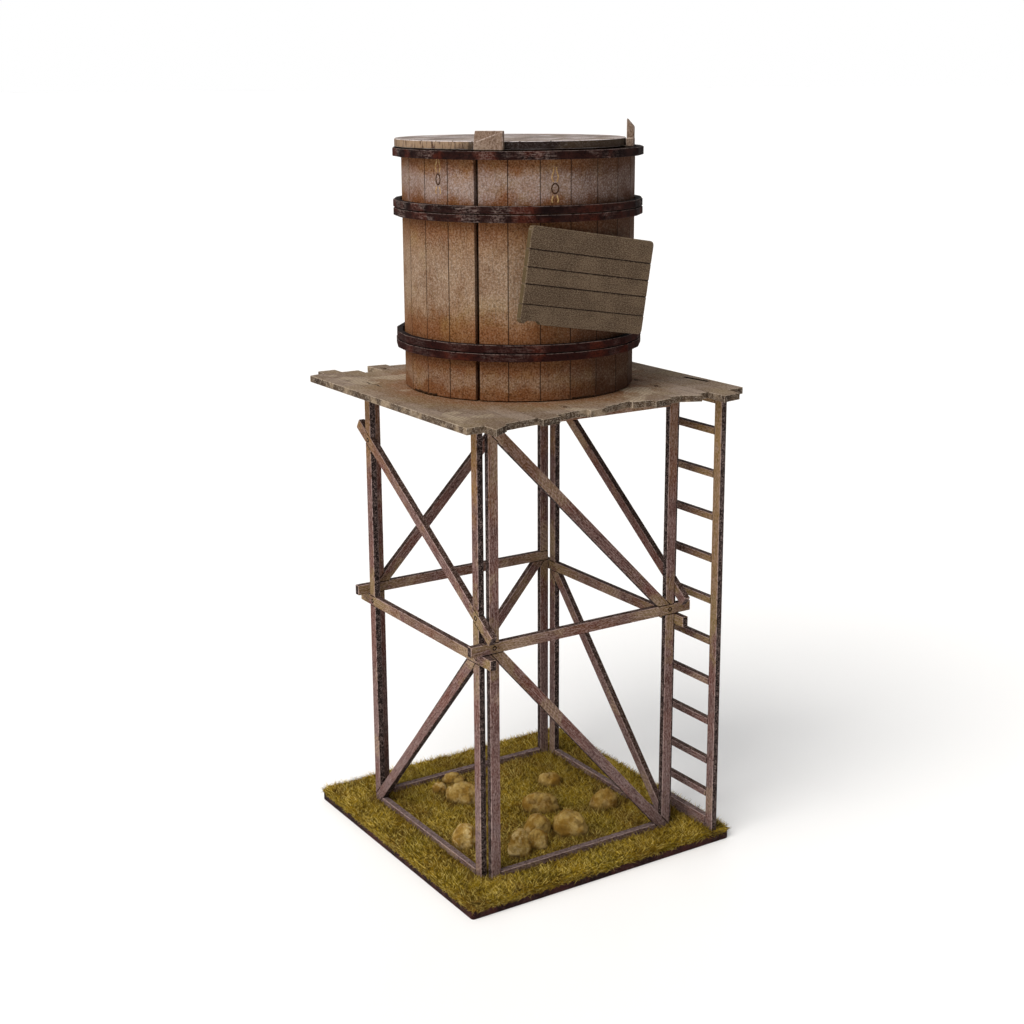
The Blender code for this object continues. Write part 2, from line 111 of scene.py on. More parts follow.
# Ladder
LADDER_TOP = (43.95, 152.86)
LADDER_FOOT = (44.95, 2.9)
LADDER_NEAR = -49.1
STILE = 3.4
LADDER_CLEAR = 21.5
RUNG = 2.2
RUNG_TOPS = [17.4] + [29.3 + 14.16 * step for step in range(9)]
SILL_TOP = 8.0
LADDER_HEAD = 2.4

# Tank
TANK_AXIS = (-0.2, 0.05)
STAVES = 24
TANK_RADIUS = 36.6
TANK_BOTTOM = 155.6
TANK_TOP = 229.3
SEAM_ANGLE = -142.5
SEAM_WIDTH = 1.05
HOOP_RADIUS = 39.2
HOOP_INNER = TANK_RADIUS + 0.3
JOINT_ANGLE = 7.5
# Bottom, top and turn of each hoop
HOOPS = {
    "hoop_top": (227.0, 229.5, -1.0),
    "hoop_middle_upper": (211.55, 213.8, -3.9),
    "hoop_middle_lower": (209.0, 211.25, -2.2),
    "hoop_lower_upper": (170.65, 173.0, 1.7),
    "hoop_lower_lower": (168.0, 170.35, 4.0),
}
HOOP_CHAMFER = 0.14
# Knots: the stave's middle in degrees, then how far beside it and how high the knot is, and its half size
STAVE_KNOTS = [(-165.0, 0.9, 221.0, 0.85, 1.6), (-105.0, -0.2, 218.6, 1.1, 1.45),
               (15.0, 0.8, 196.0, 0.7, 1.2), (75.0, -0.6, 219.4, 0.7, 1.2)]
# Gaps under staves, drawn as dark lines of painted shade: the stave's middle in degrees, and from where
# to where beside it
FOOT_GAP_SHADOWS = [(-180.0, -3.5, 4.4), (-165.0, -4.4, -1.0), (-90.0, -4.2, 3.9), (60.0, -3.0, 4.0)]
LID_CENTRE = (-2.2, 1.35)
LID_RADIUS = 36.05
LID_BOTTOM = 229.8
LID_THICK = 2.4
LID_PLANK = 6.1
LID_TURN = 20.0  # of the lines between its boards, from the X axis

# Signboard
SIGN_SIZE = (45.0, 28.5)
SIGN_CENTRE = (-0.2, 191.2)
SIGN_BACK = -36.55
SIGN_TURN = 9.2
SIGN_CORNER = 1.2
SIGN_GROOVES = (-8.65, -2.75, 2.2, 7.4)
SIGN_CHAMFER = 0.24
SIGN_NOTCH = (-21.0, -15.0, 0.9)  # its left and right end and its depth

# Thin lines on the wood: how many sides each has, and their radii
LINE_SIDES = 6
RING_SIDES = 14
BOLT_WIRE = 0.19
DECK_KNOT_WIRE = 0.14
DECK_GRAIN_WIRE = 0.09
STAVE_KNOT_WIRE = 0.22
STAVE_GRAIN_WIRE = 0.21
FOOT_GAP_SHADOW_WIRE = 0.32

# Base
BASE_LOW = (-50.3, -50.2)
BASE_HIGH = (52.2, 54.0)
BASE_TOP = 2.6
BASE_CORNERS = (2.0, 2.0, 1.1, 2.0)  # radii, from the back right corner anticlockwise
BASE_CHAMFER = 0.2
MAT_TOP = 4.0  # the earth and the roots under the grass
MAT_CELL = 1.1
MAT_INSET = 0.25
FIBRES = 80000
FRINGE = 6500
FIBRE_LONG = (1.9, 3.4)
FIBRE_LEAN = (28, 84)  # degrees from upright
FRINGE_LEAN = (58, 114)
FIBRE_WIDE = 0.26
SPILL = 0.6  # how far a needle may hang over the base's edge

# Places of looks
RIGHTWARD = (0.84, -0.54, 0.0)  # to the right of the camera's view, where the studio has a dark wall
# The middles of the spots on the timbers that are scored by a tool
SCORED = [(-12.5, -38.1, 129.3), (-25.3, -38.1, 82.0), (-38.1, -28.4, 79.8), (35.9, -2.0, 78.0)]
RUST_LEVELS = ((155, 10), (173, 11), (166, 5), (208, 8), (214.5, 5), (227, 6))  # height and reach
GREY_LEVELS = ((219.5, 6.5, 1.0), (192, 17.0, 0.75), (161.5, 3.5, 0.35))  # height, reach and strength
ABOVE_LOW_HOOPS = (180, 190)
LILAC_HEIGHT = 219  # of the lilac grey on the tank
BURNT = (0.012, 0.007, 0.006)
STONE_DARK = (0.085, 0.045, 0.013)

# Studio: azimuth and elevation, spread, power and colour of each light; azimuth 0 is the front
LIGHTS = {
    "key": (-74, 50, 42, 2.8, (1.0, 0.97, 0.93)),
    "back": (140, 38, 40, 0.35, (0.93, 0.96, 1.0)),
}
SKY = 0.42  # strength of the studio's light from above; at the horizon it is 1
DIM = 0.1  # the same at the middle of the dark wall
FLOOR_HALF = 60  # in metres
FLOOR_GLOW = 0.12

# The photograph's camera
CAMERA_PLACE = (-276.19, -427.69, 248.34)
CAMERA_TURN = 32.566
CAMERA_DOWN = 15.065
CAMERA_ROLL = -0.292
CAMERA_LENS = 55.964


# ---------------------------------------------------------------- small things


def unit(value):
    """A number kept between 0 and 1."""
    return max(0.0, min(1.0, value))


def between(limits, share):
    """A number between two limits."""
    return limits[0] + (limits[1] - limits[0]) * share


def clip(outline, point, normal):
    """The part of a convex outline that lies against the normal, from a point."""
    kept = []
    for here, after in zip(outline, outline[1:] + outline[:1]):
        a = (here[0] - point[0]) * normal[0] + (here[1] - point[1]) * normal[1]
        b = (after[0] - point[0]) * normal[0] + (after[1] - point[1]) * normal[1]
        if a <= 0:
            kept.append(here)
        if a * b < 0:
            share = a / (a - b)
            kept.append((here[0] + (after[0] - here[0]) * share, here[1] + (after[1] - here[1]) * share))
    return kept


def area(outline):
    """The area of an outline, positive if it runs anticlockwise."""
    if len(outline) < 3:
        return 0.0
    pairs = zip(outline, outline[1:] + outline[:1])
    return sum(x0 * y1 - x1 * y0 for (x0, y0), (x1, y1) in pairs) / 2


def rectangle(low_x, high_x, low_y, high_y):
    """The four corners of a rectangle."""
    return [(low_x, low_y), (high_x, low_y), (high_x, high_y), (low_x, high_y)]


def rounded(x, y, start, radius=SIGN_CORNER, steps=2):
    """The points of a round corner at (x, y) of an outline about the origin."""
    centre_x, centre_y = x - math.copysign(radius, x), y - math.copysign(radius, y)
    angles = [math.radians(start + 90 / steps * step) for step in range(steps + 1)]
    return [(centre_x + radius * math.cos(angle), centre_y + radius * math.sin(angle)) for angle in angles]


def oval(x, y, wide, high, sides=10):
    """Points round an oval."""
    turns = [math.tau * side / sides for side in range(sides)]
    return [(x + wide * math.cos(turn), y + high * math.sin(turn)) for turn in turns]


def link(name, data):
    """A new object in the scene."""
    thing = bpy.data.objects.new(name, data)
    bpy.context.scene.collection.objects.link(thing)
    return thing


def show(name, mesh, material, nodes):
    """Puts a mesh in the scene, riding on the part's one body."""
    mesh.materials.append(material)
    thing = link(name, mesh)
    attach(thing, "root")
    if nodes:
        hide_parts(*nodes)
    return thing


def cad_shape(name):
    """A copy of a CAD node's mesh to work on, in metres, its double points welded."""
    shape = bmesh.new()
    shape.from_mesh(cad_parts[name].data)
    bmesh.ops.remove_doubles(shape, verts=shape.verts, dist=WELD)
    return shape


def lay_uvs(shape, rule, size=1.0):
    """Gives each corner of a shape its UV, which the rule finds from its point divided by a size."""
    layer = shape.loops.layers.uv.new("UVMap")
    for face in shape.faces:
        for loop in face.loops:
            loop[layer].uv = rule(loop.vert.co / size)


def to_mesh(shape, name):
    """Turns a shape into a mesh."""
    mesh = bpy.data.meshes.new(name)
    shape.to_mesh(mesh)
    shape.free()
    return mesh


# ---------------------------------------------------------------- boards


def within(outline, x, y):
    """Whether a point lies in an outline."""
    odd = False
    for (x0, y0), (x1, y1) in zip(outline, outline[1:] + outline[:1]):
        if (y0 > y) != (y1 > y) and x < x0 + (y - y0) / (y1 - y0) * (x1 - x0):
            odd = not odd
    return odd


def divide(outline, others):
    """An outline with a corner wherever a neighbour's corner touches it, and which sides are joints."""
    points, joints = [], []
    for (x0, y0), (x1, y1) in zip(outline, outline[1:] + outline[:1]):
        long = math.hypot(x1 - x0, y1 - y0)
        way = ((x1 - x0) / long, (y1 - y0) / long)
        stops = {0.0}
        for x, y in (point for other in others for point in other):
            along = (x - x0) * way[0] + (y - y0) * way[1]
            off = abs((y - y0) * way[0] - (x - x0) * way[1])
            if off < TOUCH and 2 * CHAMFER < along < long - 2 * CHAMFER:
                if all(abs(along - stop) > 2 * CHAMFER for stop in stops):
                    stops.add(along)
        stops = sorted(stops)
        for start, end in zip(stops, stops[1:] + [long]):
            points.append((x0 + way[0] * start, y0 + way[1] * start))
            middle = (start + end) / 2
            x, y = x0 + way[0] * middle + way[1] * TOUCH, y0 + way[1] * middle - way[0] * TOUCH
            joints.append(any(within(other, x, y) for other in others))
    return points, joints


def nearest_side(outline, point):
    """The number of the side of an outline that a point is nearest to."""
    best = (math.inf, 0)
    for number, (x0, y0) in enumerate(outline):
        x1, y1 = outline[(number + 1) % len(outline)]
        span = (x1 - x0) ** 2 + (y1 - y0) ** 2
        share = unit(((point.x - x0) * (x1 - x0) + (point.y - y0) * (y1 - y0)) / span)
        gap = math.hypot(point.x - x0 - share * (x1 - x0), point.y - y0 - share * (y1 - y0))
        best = min(best, (gap, number))
    return best[1]


def skin(start, rings, sides, closed):
    """The faces between rings of points that follow each other, from the point numbered start."""
    faces = []
    for number in range(rings if closed else rings - 1):
        here, after = start + number * sides, start + (number + 1) % rings * sides
        for side in range(sides):
            beyond = (side + 1) % sides
            faces.append([here + side, after + side, after + beyond, here + beyond])
    return faces


class Boards:
    """Boards gathered into one mesh.

    UVs are millimetres along and across the grain. The face attributes are "arris" for an eased free
    edge, "seam" for the two slopes of a groove between neighbours, and "cut" for a sawn side.
    """

    def __init__(self):
        self.points, self.faces, self.uvs = [], [], []
        self.marks = {"arris": [], "seam": [], "cut": []}

    def sheet(self, outlines, depth, place, chamfer=CHAMFER):
        """Boards that lie in one plane, each with the direction of its grain in that plane."""
        outlines = [(outline[::-1] if area(outline) < 0 else outline, grain) for outline, grain in outlines]
        for outline, grain in outlines:
            others = [other for other, _ in outlines if other is not outline]
            self.add(*divide(outline, others), depth, place, grain, chamfer)

    def add(self, outline, joints, depth, place, grain, chamfer=CHAMFER):
        """A board: its outline in its own XY plane, and its depth along +Z.

        Without a grain it stands up: its grain is along +Z, its ends are cut and its sides are joints.
        """
        upright = grain is None
        count = len(outline)
        shape = bmesh.new()
        cut = shape.faces.layers.float.new("cut")
        low = [shape.verts.new((x, y, 0)) for x, y in outline]
        high = [shape.verts.new((x, y, depth)) for x, y in outline]
        for end in (shape.faces.new(low[::-1]), shape.faces.new(high)):
            end[cut] = float(upright)
        for number in range(count):
            after = (number + 1) % count
            side = shape.faces.new((low[number], low[after], high[after], high[number]))
            side[cut] = float(not upright)
        shape.normal_update()
        sharp = [edge for edge in shape.edges if edge.calc_face_angle() > 0.05]
        chamfers = set()
        if chamfer:
            made = bmesh.ops.bevel(shape, geom=sharp, offset=chamfer, segments=1, affect="EDGES",
                                   clamp_overlap=True)
            chamfers = set(made["faces"])
        shape.normal_update()
        shape.verts.index_update()
        start = len(self.points)
        shift = 37.0 * len(self.faces)  # so that no two boards have the same grain
        self.points += [place @ vert.co for vert in shape.verts]
        if place.determinant() < 0:
            bmesh.ops.reverse_faces(shape, faces=shape.faces[:])
        for face in shape.faces:
            self.faces.append([start + vert.index for vert in face.verts])
            eased = face in chamfers
            if upright:
                seam = eased and abs(face.normal.z) < 0.1
            else:
                seam = eased and joints[nearest_side(outline, face.calc_center_median())]
            self.marks["seam"].append(float(seam))
            self.marks["arris"].append(float(eased and not seam))
            self.marks["cut"].append(0.0 if eased else face[cut])
            for vert in face.verts:
                x, y, z = vert.co
                along = z if upright else x * grain[0] + y * grain[1]
                across = x + y if upright else y * grain[0] - x * grain[1] + z
                self.uvs.append((along + shift, across + shift))
        shape.free()

    def line(self, points, radius, place, closed=False):
        """A thin line along points in a board's plane, half sunk in its face; depth 0 is the face."""
        start, count = len(self.points), len(points)
        for number, (x, y) in enumerate(points):
            before = points[number - 1] if closed or number else points[0]
            after = points[(number + 1) % count] if closed or number + 1 < count else points[-1]
            way = Vector((after[0] - before[0], after[1] - before[1])).normalized()
            for side in range(LINE_SIDES):
                angle = math.tau * side / LINE_SIDES
                shift = radius * math.cos(angle)
                point = Vector((x - way.y * shift, y + way.x * shift, -0.6 * radius * math.sin(angle)))
                self.points.append(place @ point)
        faces = skin(start, count, LINE_SIDES, closed)
        if not closed:
            last = start + (count - 1) * LINE_SIDES
            faces.append(list(range(start, start + LINE_SIDES)))
            faces.append(list(range(last, last + LINE_SIDES))[::-1])
        if place.determinant() < 0:
            faces = [face[::-1] for face in faces]
        self.faces += faces
        for values in self.marks.values():
            values += [0.0] * len(faces)
        self.uvs += [(0.0, 0.0)] * sum(len(face) for face in faces)

    def mesh(self, name):
        """The mesh of all the boards."""
        mesh = bpy.data.meshes.new(name)
        mesh.from_pydata([tuple(point * MM) for point in self.points], [], self.faces)
        for label, values in self.marks.items():
            mesh.attributes.new(label, "FLOAT", "FACE").data.foreach_set("value", values)
        layer = mesh.uv_layers.new(name="UVMap")
        layer.data.foreach_set("uv", np.array(self.uvs, np.float32).ravel())
        return mesh

    def piece(self, name, material, nodes, slot):
        """The finished object, in place of the CAD nodes of the same pieces."""
        return show(name, self.mesh(name), material, nodes)


# ---------------------------------------------------------------- side frames


def brace_outline(ends, left_reach, right_reach, bottom, top):
    """A slanting bar in a frame's plane, and the direction of its grain."""
    rise = (ends[1] - ends[0]) / (2 * HALF)
    middle = (ends[0] + ends[1]) / 2
    tall = BRACE / 2 * math.hypot(1, rise)
    normal = Vector((1, rise)).normalized()
    left = left_reach or POST_OUTER + 2 * BRACE
    right = right_reach or POST_OUTER + 2 * BRACE
    spare = BRACE
    corners = ((-left - spare, -1), (right + spare, -1), (right + spare, 1), (-left - spare, 1))
    outline = [(x, rise * x + middle + side * tall) for x, side in corners]
    outline = clip(outline, (-left, middle - rise * left), -normal)
    outline = clip(outline, (right, middle + rise * right), normal)
    if left_reach is None:
        outline = clip(outline, (-POST_OUTER + BRACE_INSET, 0), (-1, 0))
    if right_reach is None:
        outline = clip(outline, (POST_OUTER - BRACE_INSET, 0), (1, 0))
    outline = clip(outline, (0, bottom + BRACE_INSET), (0, -1))
    return clip(outline, (0, top - BRACE_INSET), (0, 1)), (normal.x, normal.y)


def crosses(outline, other):
    """Whether two convex outlines share some area."""
    shared = outline
    if area(other) < 0:
        other = other[::-1]
    for here, after in zip(other, other[1:] + other[:1]):
        shared = clip(shared, here, (after[1] - here[1], here[0] - after[0]))
    return area(shared) > SLIVER / 4


def without(outline, over, grain, point, half):
    """What shows of a board under a straight bar, of which a point and half its width are given."""
    if not crosses(outline, over):
        return [outline]
    found = []
    for sign in (1, -1):
        across = (-sign * grain[1], sign * grain[0])
        side = (point[0] + across[0] * half, point[1] + across[1] * half)
        rest = clip(outline, side, (-across[0], -across[1]))
        if area(rest) > SLIVER:
            found.append(rest)
    return found


def frame_boards(name):
    """The boards of one side frame in its own plane, the ones on top first."""
    _, rail, rail_left, upper, lower, reaches = FRAMES[name]
    inner = POST_OUTER - BAR
    level, upright = (1.0, 0.0), (0.0, 1.0)
    # outline, grain, a point on the middle line and half the width of each bar
    bars = [(rectangle(-rail_left, RAIL_REACH, rail, rail + BAR), level, (0, rail + BAR / 2), BAR / 2)]
    for ends, reach, bottom, top in ((upper, reaches, rail, FRAME_TOP),
                                     (lower, (None, None), FRAME_FOOT, rail + BAR)):
        outline, grain = brace_outline(ends, *reach, bottom, top)
        bars.append((outline, grain, (0, (ends[0] + ends[1]) / 2), BRACE / 2))
    for side in (-1, 1):
        post = rectangle(*sorted((side * inner, side * POST_OUTER)), FRAME_FOOT, FRAME_TOP)
        bars.append((post, upright, (side * (inner + BAR / 2), 0), BAR / 2))
    for low, high in ((FRAME_FOOT, FOOT_RAIL_TOP), (FRAME_TOP - BAR, FRAME_TOP)):
        bars.append((rectangle(-inner, inner, low, high), level, (0, (low + high) / 2), (high - low) / 2))
    boards = []
    for number, (outline, grain, _, _) in enumerate(bars):
        parts = [outline]
        for bar in bars[:number]:
            parts = [rest for part in parts for rest in without(part, *bar)]
        boards += [(part, grain) for part in parts]
    return boards


def frame_place(name):
    """From a frame's plane, with its outer face at depth 0 looking out, to its place."""
    angle = math.radians(FRAMES[name][0])
    out = Matrix.Translation((math.sin(angle) * HALF, -math.cos(angle) * HALF, 0))
    stand = Matrix(((1, 0, 0, 0), (0, 0, 1, 0), (0, 1, 0, 0), (0, 0, 0, 1)))
    return out @ Matrix.Rotation(angle, 4, "Z") @ stand


def build_frames(material, iron):
    """The four lattice sides, and the rings of their bolts."""
    rings = Boards()
    post = POST_OUTER - BAR / 2
    for name, (_, rail, _, upper, _, reaches) in FRAMES.items():
        place = frame_place(name)
        boards = Boards()
        boards.sheet(frame_boards(name), SHEET, place)
        boards.piece(f"{name}_timbers", material, [name], "frame_wood")
        rise = (upper[1] - upper[0]) / (2 * HALF)
        middle = (upper[0] + upper[1]) / 2
        spots = [(-post, rail + BAR / 2), (post, rail + BAR / 2)]
        spots += [(side * post, middle + rise * side * post)
                  for side, reach in zip((-1, 1), reaches) if reach]
        for x, y in spots:
            rings.line(oval(x, y, BOLT_RADIUS, BOLT_RADIUS, RING_SIDES), BOLT_WIRE, place, closed=True)
    rings.piece("bolt_rings", iron, [], "frame_wood")


def build_ladder(material):
    """Stiles, rungs, sill and head of the ladder."""
    rise = LADDER_TOP[1] - LADDER_FOOT[1]
    lean = math.atan((LADDER_FOOT[0] - LADDER_TOP[0]) / rise)
    upright = Matrix(((0, 0, 1, 0), (1, 0, 0, 0), (0, 1, 0, 0), (0, 0, 0, 1)))
    foot = Matrix.Translation((LADDER_FOOT[0], LADDER_NEAR, LADDER_FOOT[1]))
    place = foot @ Matrix.Rotation(-lean, 4, "Y") @ upright
    stiles = [(rectangle(left, left + STILE, 0, rise), (0, 1)) for left in (0, STILE + LADDER_CLEAR)]
    bars = [(0, SILL_TOP - LADDER_FOOT[1])]
    bars += [(top - RUNG - LADDER_FOOT[1], top - LADDER_FOOT[1]) for top in RUNG_TOPS]
    bars.append((rise - LADDER_HEAD, rise))
    rungs = [(rectangle(STILE, STILE + LADDER_CLEAR, low, high), (1, 0)) for low, high in bars]
    boards = Boards()
    boards.sheet(stiles + rungs, SHEET, place)
    boards.piece("ladder_timbers", material, ["ladder"], "ladder_wood")


# ---------------------------------------------------------------- deck, tank, sign


def cut_away(thing, outline, low, high):
    """Cuts an upright prism of the outline out of an object, and leaves its walls burnt."""
    cutter = Boards()
    foot = Matrix.Translation((0, 0, low))
    cutter.add(outline, [False] * len(outline), high - low, foot, (1, 0), chamfer=0)
    cutter.marks["seam"] = [1.0] * len(cutter.faces)
    cutter.marks["cut"] = [0.0] * len(cutter.faces)
    tool = link("cutter", cutter.mesh("cutter"))
    cut = thing.modifiers.new("cut", "BOOLEAN")
    cut.operation = "DIFFERENCE"
    cut.solver = "EXACT"
    cut.object = tool
    graph = bpy.context.evaluated_depsgraph_get()
    made = bpy.data.meshes.new_from_object(thing.evaluated_get(graph))
    thing.modifiers.clear()
    thing.data = made
    bpy.data.objects.remove(tool, do_unlink=True)


def build_deck(material):
    """The planks of the deck, with its slot and its split."""
    low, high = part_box("deck")
    bottom, top = low.z / MM, high.z / MM
    planks = []
    for left, right, front_left, front_right, back_left, back_right in DECK_PLANKS:
        left, right = left + APART, right - APART
        outline = [(left, front_left), (right, front_right), (right, back_right), (left, back_left)]
        planks.append((outline, (0, 1)))
    boards = Boards()
    boards.sheet(planks, top - bottom, Matrix.Translation((0, 0, bottom)), DECK_CHAMFER)
    deck = boards.piece("deck_planks", material, ["deck"], "deck_wood")
    cut_away(deck, DECK_SLOT, bottom - 1, top + 1)
    left = [(x - DECK_SPLIT_HALF, y) for x, y in DECK_SPLIT[1:-1]]
    right = [(x + 2 * DECK_SPLIT_HALF, y) for x, y in left[::-1]]
    cut_away(deck, [DECK_SPLIT[0], *left, DECK_SPLIT[-1], *right], top - DECK_SPLIT_DEEP, top + 1)


def build_tank(material):
    """The staves, with one open joint."""
    boards = Boards()
    wide = 360 / STAVES
    facet = math.radians(wide / 2)
    inner = TANK_RADIUS - SHEET / math.cos(facet)
    half_out, far = TANK_RADIUS * math.sin(facet), TANK_RADIUS * math.cos(facet)
    half_in, near = inner * math.sin(facet), inner * math.cos(facet)
    for number in range(STAVES):
        middle = math.radians(SEAM_ANGLE + wide * (number + 0.5))
        start = SEAM_WIDTH / 2 if number == 0 else 0.0
        end = SEAM_WIDTH / 2 if number == STAVES - 1 else 0.0
        # across the stave, and out from the axis
        section = [(half_out - start, far), (end - half_out, far),
                   (end - half_in, near), (half_in - start, near)]
        turn = Matrix.Rotation(middle - math.pi / 2, 4, "Z")
        place = Matrix.Translation((*TANK_AXIS, TANK_BOTTOM)) @ turn
        boards.add(section, [], TANK_TOP - TANK_BOTTOM, place, None)
    boards.piece("tank_staves", material, ["tank_wall"], "tank_wood")


def stave_place(angle):
    """From the outer face of the stave at an angle, across and up, to its place."""
    out = TANK_RADIUS * math.cos(math.pi / STAVES)
    x, y = math.cos(math.radians(angle)), math.sin(math.radians(angle))
    return Matrix(((-y, 0, -x, TANK_AXIS[0] + x * out), (x, 0, -y, TANK_AXIS[1] + y * out),
                   (0, 1, 0, 0), (0, 0, 0, 1)))


def build_marks(dark, bare):
    """The knots and grain lines engraved on the deck and on some staves, and dark lines of painted shade for
    the gaps under the staves' feet.
    """
    marks, lines = Boards(), Boards()
    up = Matrix(((0, 1, 0, 0), (1, 0, 0, 0), (0, 0, -1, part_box("deck")[1].z / MM), (0, 0, 0, 1)))
    for x, y in DECK_KNOTS:
        marks.line(oval(y, x, 0.8, 0.4), DECK_KNOT_WIRE, up, closed=True)
        for side in (-1, 1):
            grain = [(y + along, x + side * (0.3 + 0.5 * math.exp(-along * along / 2.5)))
                     for along in (-2.8, -1.9, -1.1, -0.4, 0.4, 1.1, 1.9, 2.6)]
            marks.line(grain, DECK_GRAIN_WIRE, up)
    for stave, shift, middle, wide, tall in STAVE_KNOTS:
        place = stave_place(stave)
        marks.line(oval(shift, middle, wide, tall), STAVE_KNOT_WIRE, place, closed=True)
        for way, steps in ((-1, 4), (1, 7)):
            start = middle + way * (tall + 0.5)
            rises = [start + way * 0.7 * step for step in range(steps)]
            bulge = [0.45 + 0.55 * math.exp(-((rise - start - way * 1.4) / 1.1) ** 2) for rise in rises]
            for side in (-1, 1):
                grain = [(shift + side * wider, rise) for wider, rise in zip(bulge, rises)]
                lines.line(grain, STAVE_GRAIN_WIRE, place)
    # painted shade: dark lines where there are gaps under the staves' feet
    for stave, low, high in FOOT_GAP_SHADOWS:
        gap = [(x, TANK_BOTTOM + 0.25 + 0.3 * noise.noise(Vector((x, stave, 0))))
               for x in (low + (high - low) * step / 8 for step in range(9))]
        marks.line(gap, FOOT_GAP_SHADOW_WIRE, stave_place(stave))
    marks.piece("engraved_marks", dark, [], "tank_wood")
    lines.piece("engraved_grain", bare, [], "tank_wood")


def build_hoops(material):
    """The flat rings, each with its arrises eased."""
    facet = 2 * math.pi / STAVES
    along = 2 * math.pi * HOOP_RADIUS / STAVES
    inner, rim = HOOP_INNER / math.cos(math.pi / STAVES), HOOP_RADIUS - HOOP_CHAMFER
    for name, (bottom, top, turn) in HOOPS.items():
        # radius and height of each corner of the section, going round it, and the mark of the side after it
        section = [(inner, bottom, "cut"), (rim, bottom, "arris"), (HOOP_RADIUS, bottom + HOOP_CHAMFER, ""),
                   (HOOP_RADIUS, top - HOOP_CHAMFER, "arris"), (rim, top, "cut"), (inner, top, "cut")]
        boards = Boards()
        for step in range(STAVES):
            angle = math.radians(JOINT_ANGLE + turn) + facet * step
            x, y = math.cos(angle), math.sin(angle)
            boards.points += [Vector((TANK_AXIS[0] + radius * x, TANK_AXIS[1] + radius * y, height))
                              for radius, height, _ in section]
            for (radius, height, mark), (far, high, _) in zip(section, section[1:] + section[:1]):
                for label, values in boards.marks.items():
                    values.append(float(label == mark))
                near, far = radius + height, far + high
                boards.uvs += [(along * step, near), (along * (step + 1), near),
                               (along * (step + 1), far), (along * step, far)]
        boards.faces = skin(0, STAVES, len(section), closed=True)
        boards.piece(f"{name}_band", material, [name], "hoop_wood")


def build_lid(material):
    """The round lid with the engraved lines between its boards."""
    shape = bmesh.new()
    place = Matrix.Translation((*LID_CENTRE, LID_BOTTOM + LID_THICK / 2))
    bmesh.ops.create_cone(shape, cap_ends=True, segments=96, radius1=LID_RADIUS, radius2=LID_RADIUS,
                          depth=LID_THICK, matrix=place)
    shape.normal_update()
    rims = [edge for edge in shape.edges if edge.calc_face_angle() > 1.0]
    bmesh.ops.bevel(shape, geom=rims, offset=CHAMFER, segments=1, affect="EDGES")
    shape.normal_update()
    seam, arris, cut = (shape.faces.layers.float.new(label) for label in ("seam", "arris", "cut"))
    for face in shape.faces:
        face[cut] = float(abs(face.normal.z) < 0.1)
        face[arris] = float(0.1 < abs(face.normal.z) < 0.9)
    way = Vector((math.cos(math.radians(LID_TURN)), math.sin(math.radians(LID_TURN)), 0))
    across = Vector((-way.y, way.x, 0))
    top = LID_BOTTOM + LID_THICK
    count = round(2 * LID_RADIUS / LID_PLANK)
    for number in range(1, count):
        offset = -LID_RADIUS + 2 * LID_RADIUS * number / count
        line = Vector((*LID_CENTRE, top)) + across * offset
        for side in (-CHAMFER, 0, CHAMFER):
            shape.faces.ensure_lookup_table()
            faces = [face for face in shape.faces if face.calc_center_median().z > top - 2 * CHAMFER]
            near = faces + list(dict.fromkeys(edge for face in faces for edge in face.edges))
            near += list(dict.fromkeys(vert for face in faces for vert in face.verts))
            bmesh.ops.bisect_plane(shape, geom=near, plane_co=line + across * side, plane_no=across)
        for vert in shape.verts:
            if vert.co.z > top - CHAMFER / 2 and abs((vert.co - line).dot(across)) < 0.001:
                vert.co.z -= CHAMFER
                for face in vert.link_faces:
                    if abs(face.calc_center_median().z - top) < CHAMFER:
                        face[seam], face[arris], face[cut] = 1.0, 0.0, 0.0
    lay_uvs(shape, lambda point: (point.dot(way), point.dot(across) + point.z))
    bmesh.ops.scale(shape, vec=(MM, MM, MM), verts=shape.verts)
    show("lid_board", to_mesh(shape, "lid_board"), material, ["tank_lid"])


def build_tabs(material):
    """The two tabs on the rim, with their arrises eased."""
    for name in ("lid_tab_front", "lid_tab_right"):
        shape = cad_shape(name)
        arris = shape.faces.layers.float.new("arris")
        bmesh.ops.dissolve_limit(shape, angle_limit=math.radians(1), verts=shape.verts, edges=shape.edges)
        made = bmesh.ops.bevel(shape, geom=shape.edges[:], offset=CHAMFER * MM, segments=1, affect="EDGES")
        for face in shape.faces:
            face[arris] = 0.0
        for face in made["faces"]:
            face[arris] = 1.0
        lay_uvs(shape, lambda point: (point.z, point.x - point.y), MM)
        show(f"{name}_board", to_mesh(shape, f"{name}_board"), material, [name])


def build_sign(material):
    """Five boards side by side, slanting down to the right."""
    half_wide, half_high = SIGN_SIZE[0] / 2, SIGN_SIZE[1] / 2
    levels = (-half_high, *SIGN_GROOVES, half_high)
    stand = Matrix.Rotation(math.radians(90), 4, "X")
    slant = Matrix.Rotation(math.radians(SIGN_TURN), 4, "Y")
    middle = Matrix.Translation((SIGN_CENTRE[0], SIGN_BACK - SHEET / 2, SIGN_CENTRE[1]))
    place = middle @ slant @ stand @ Matrix.Translation((0, 0, -SHEET / 2))
    left, right, deep = SIGN_NOTCH
    planks = []
    for low, high in zip(levels, levels[1:]):
        outline = rectangle(-half_wide, half_wide, low, high)
        if low == -half_high:
            floor = low + deep
            outline = [(-half_wide, high), *rounded(-half_wide, low, 180), (left, low), (left + deep, floor),
                       (right - deep, floor), (right, low), *rounded(half_wide, low, 270), (half_wide, high)]
        elif high == half_high:
            outline = [(half_wide, low), *rounded(half_wide, high, 0), *rounded(-half_wide, high, 90),
                       (-half_wide, low)]
        planks.append((outline, (1, 0)))
    boards = Boards()
    boards.sheet(planks, SHEET, place, SIGN_CHAMFER)
    boards.piece("sign_boards", material, ["signboard"], "sign_wood")


# ---------------------------------------------------------------- base


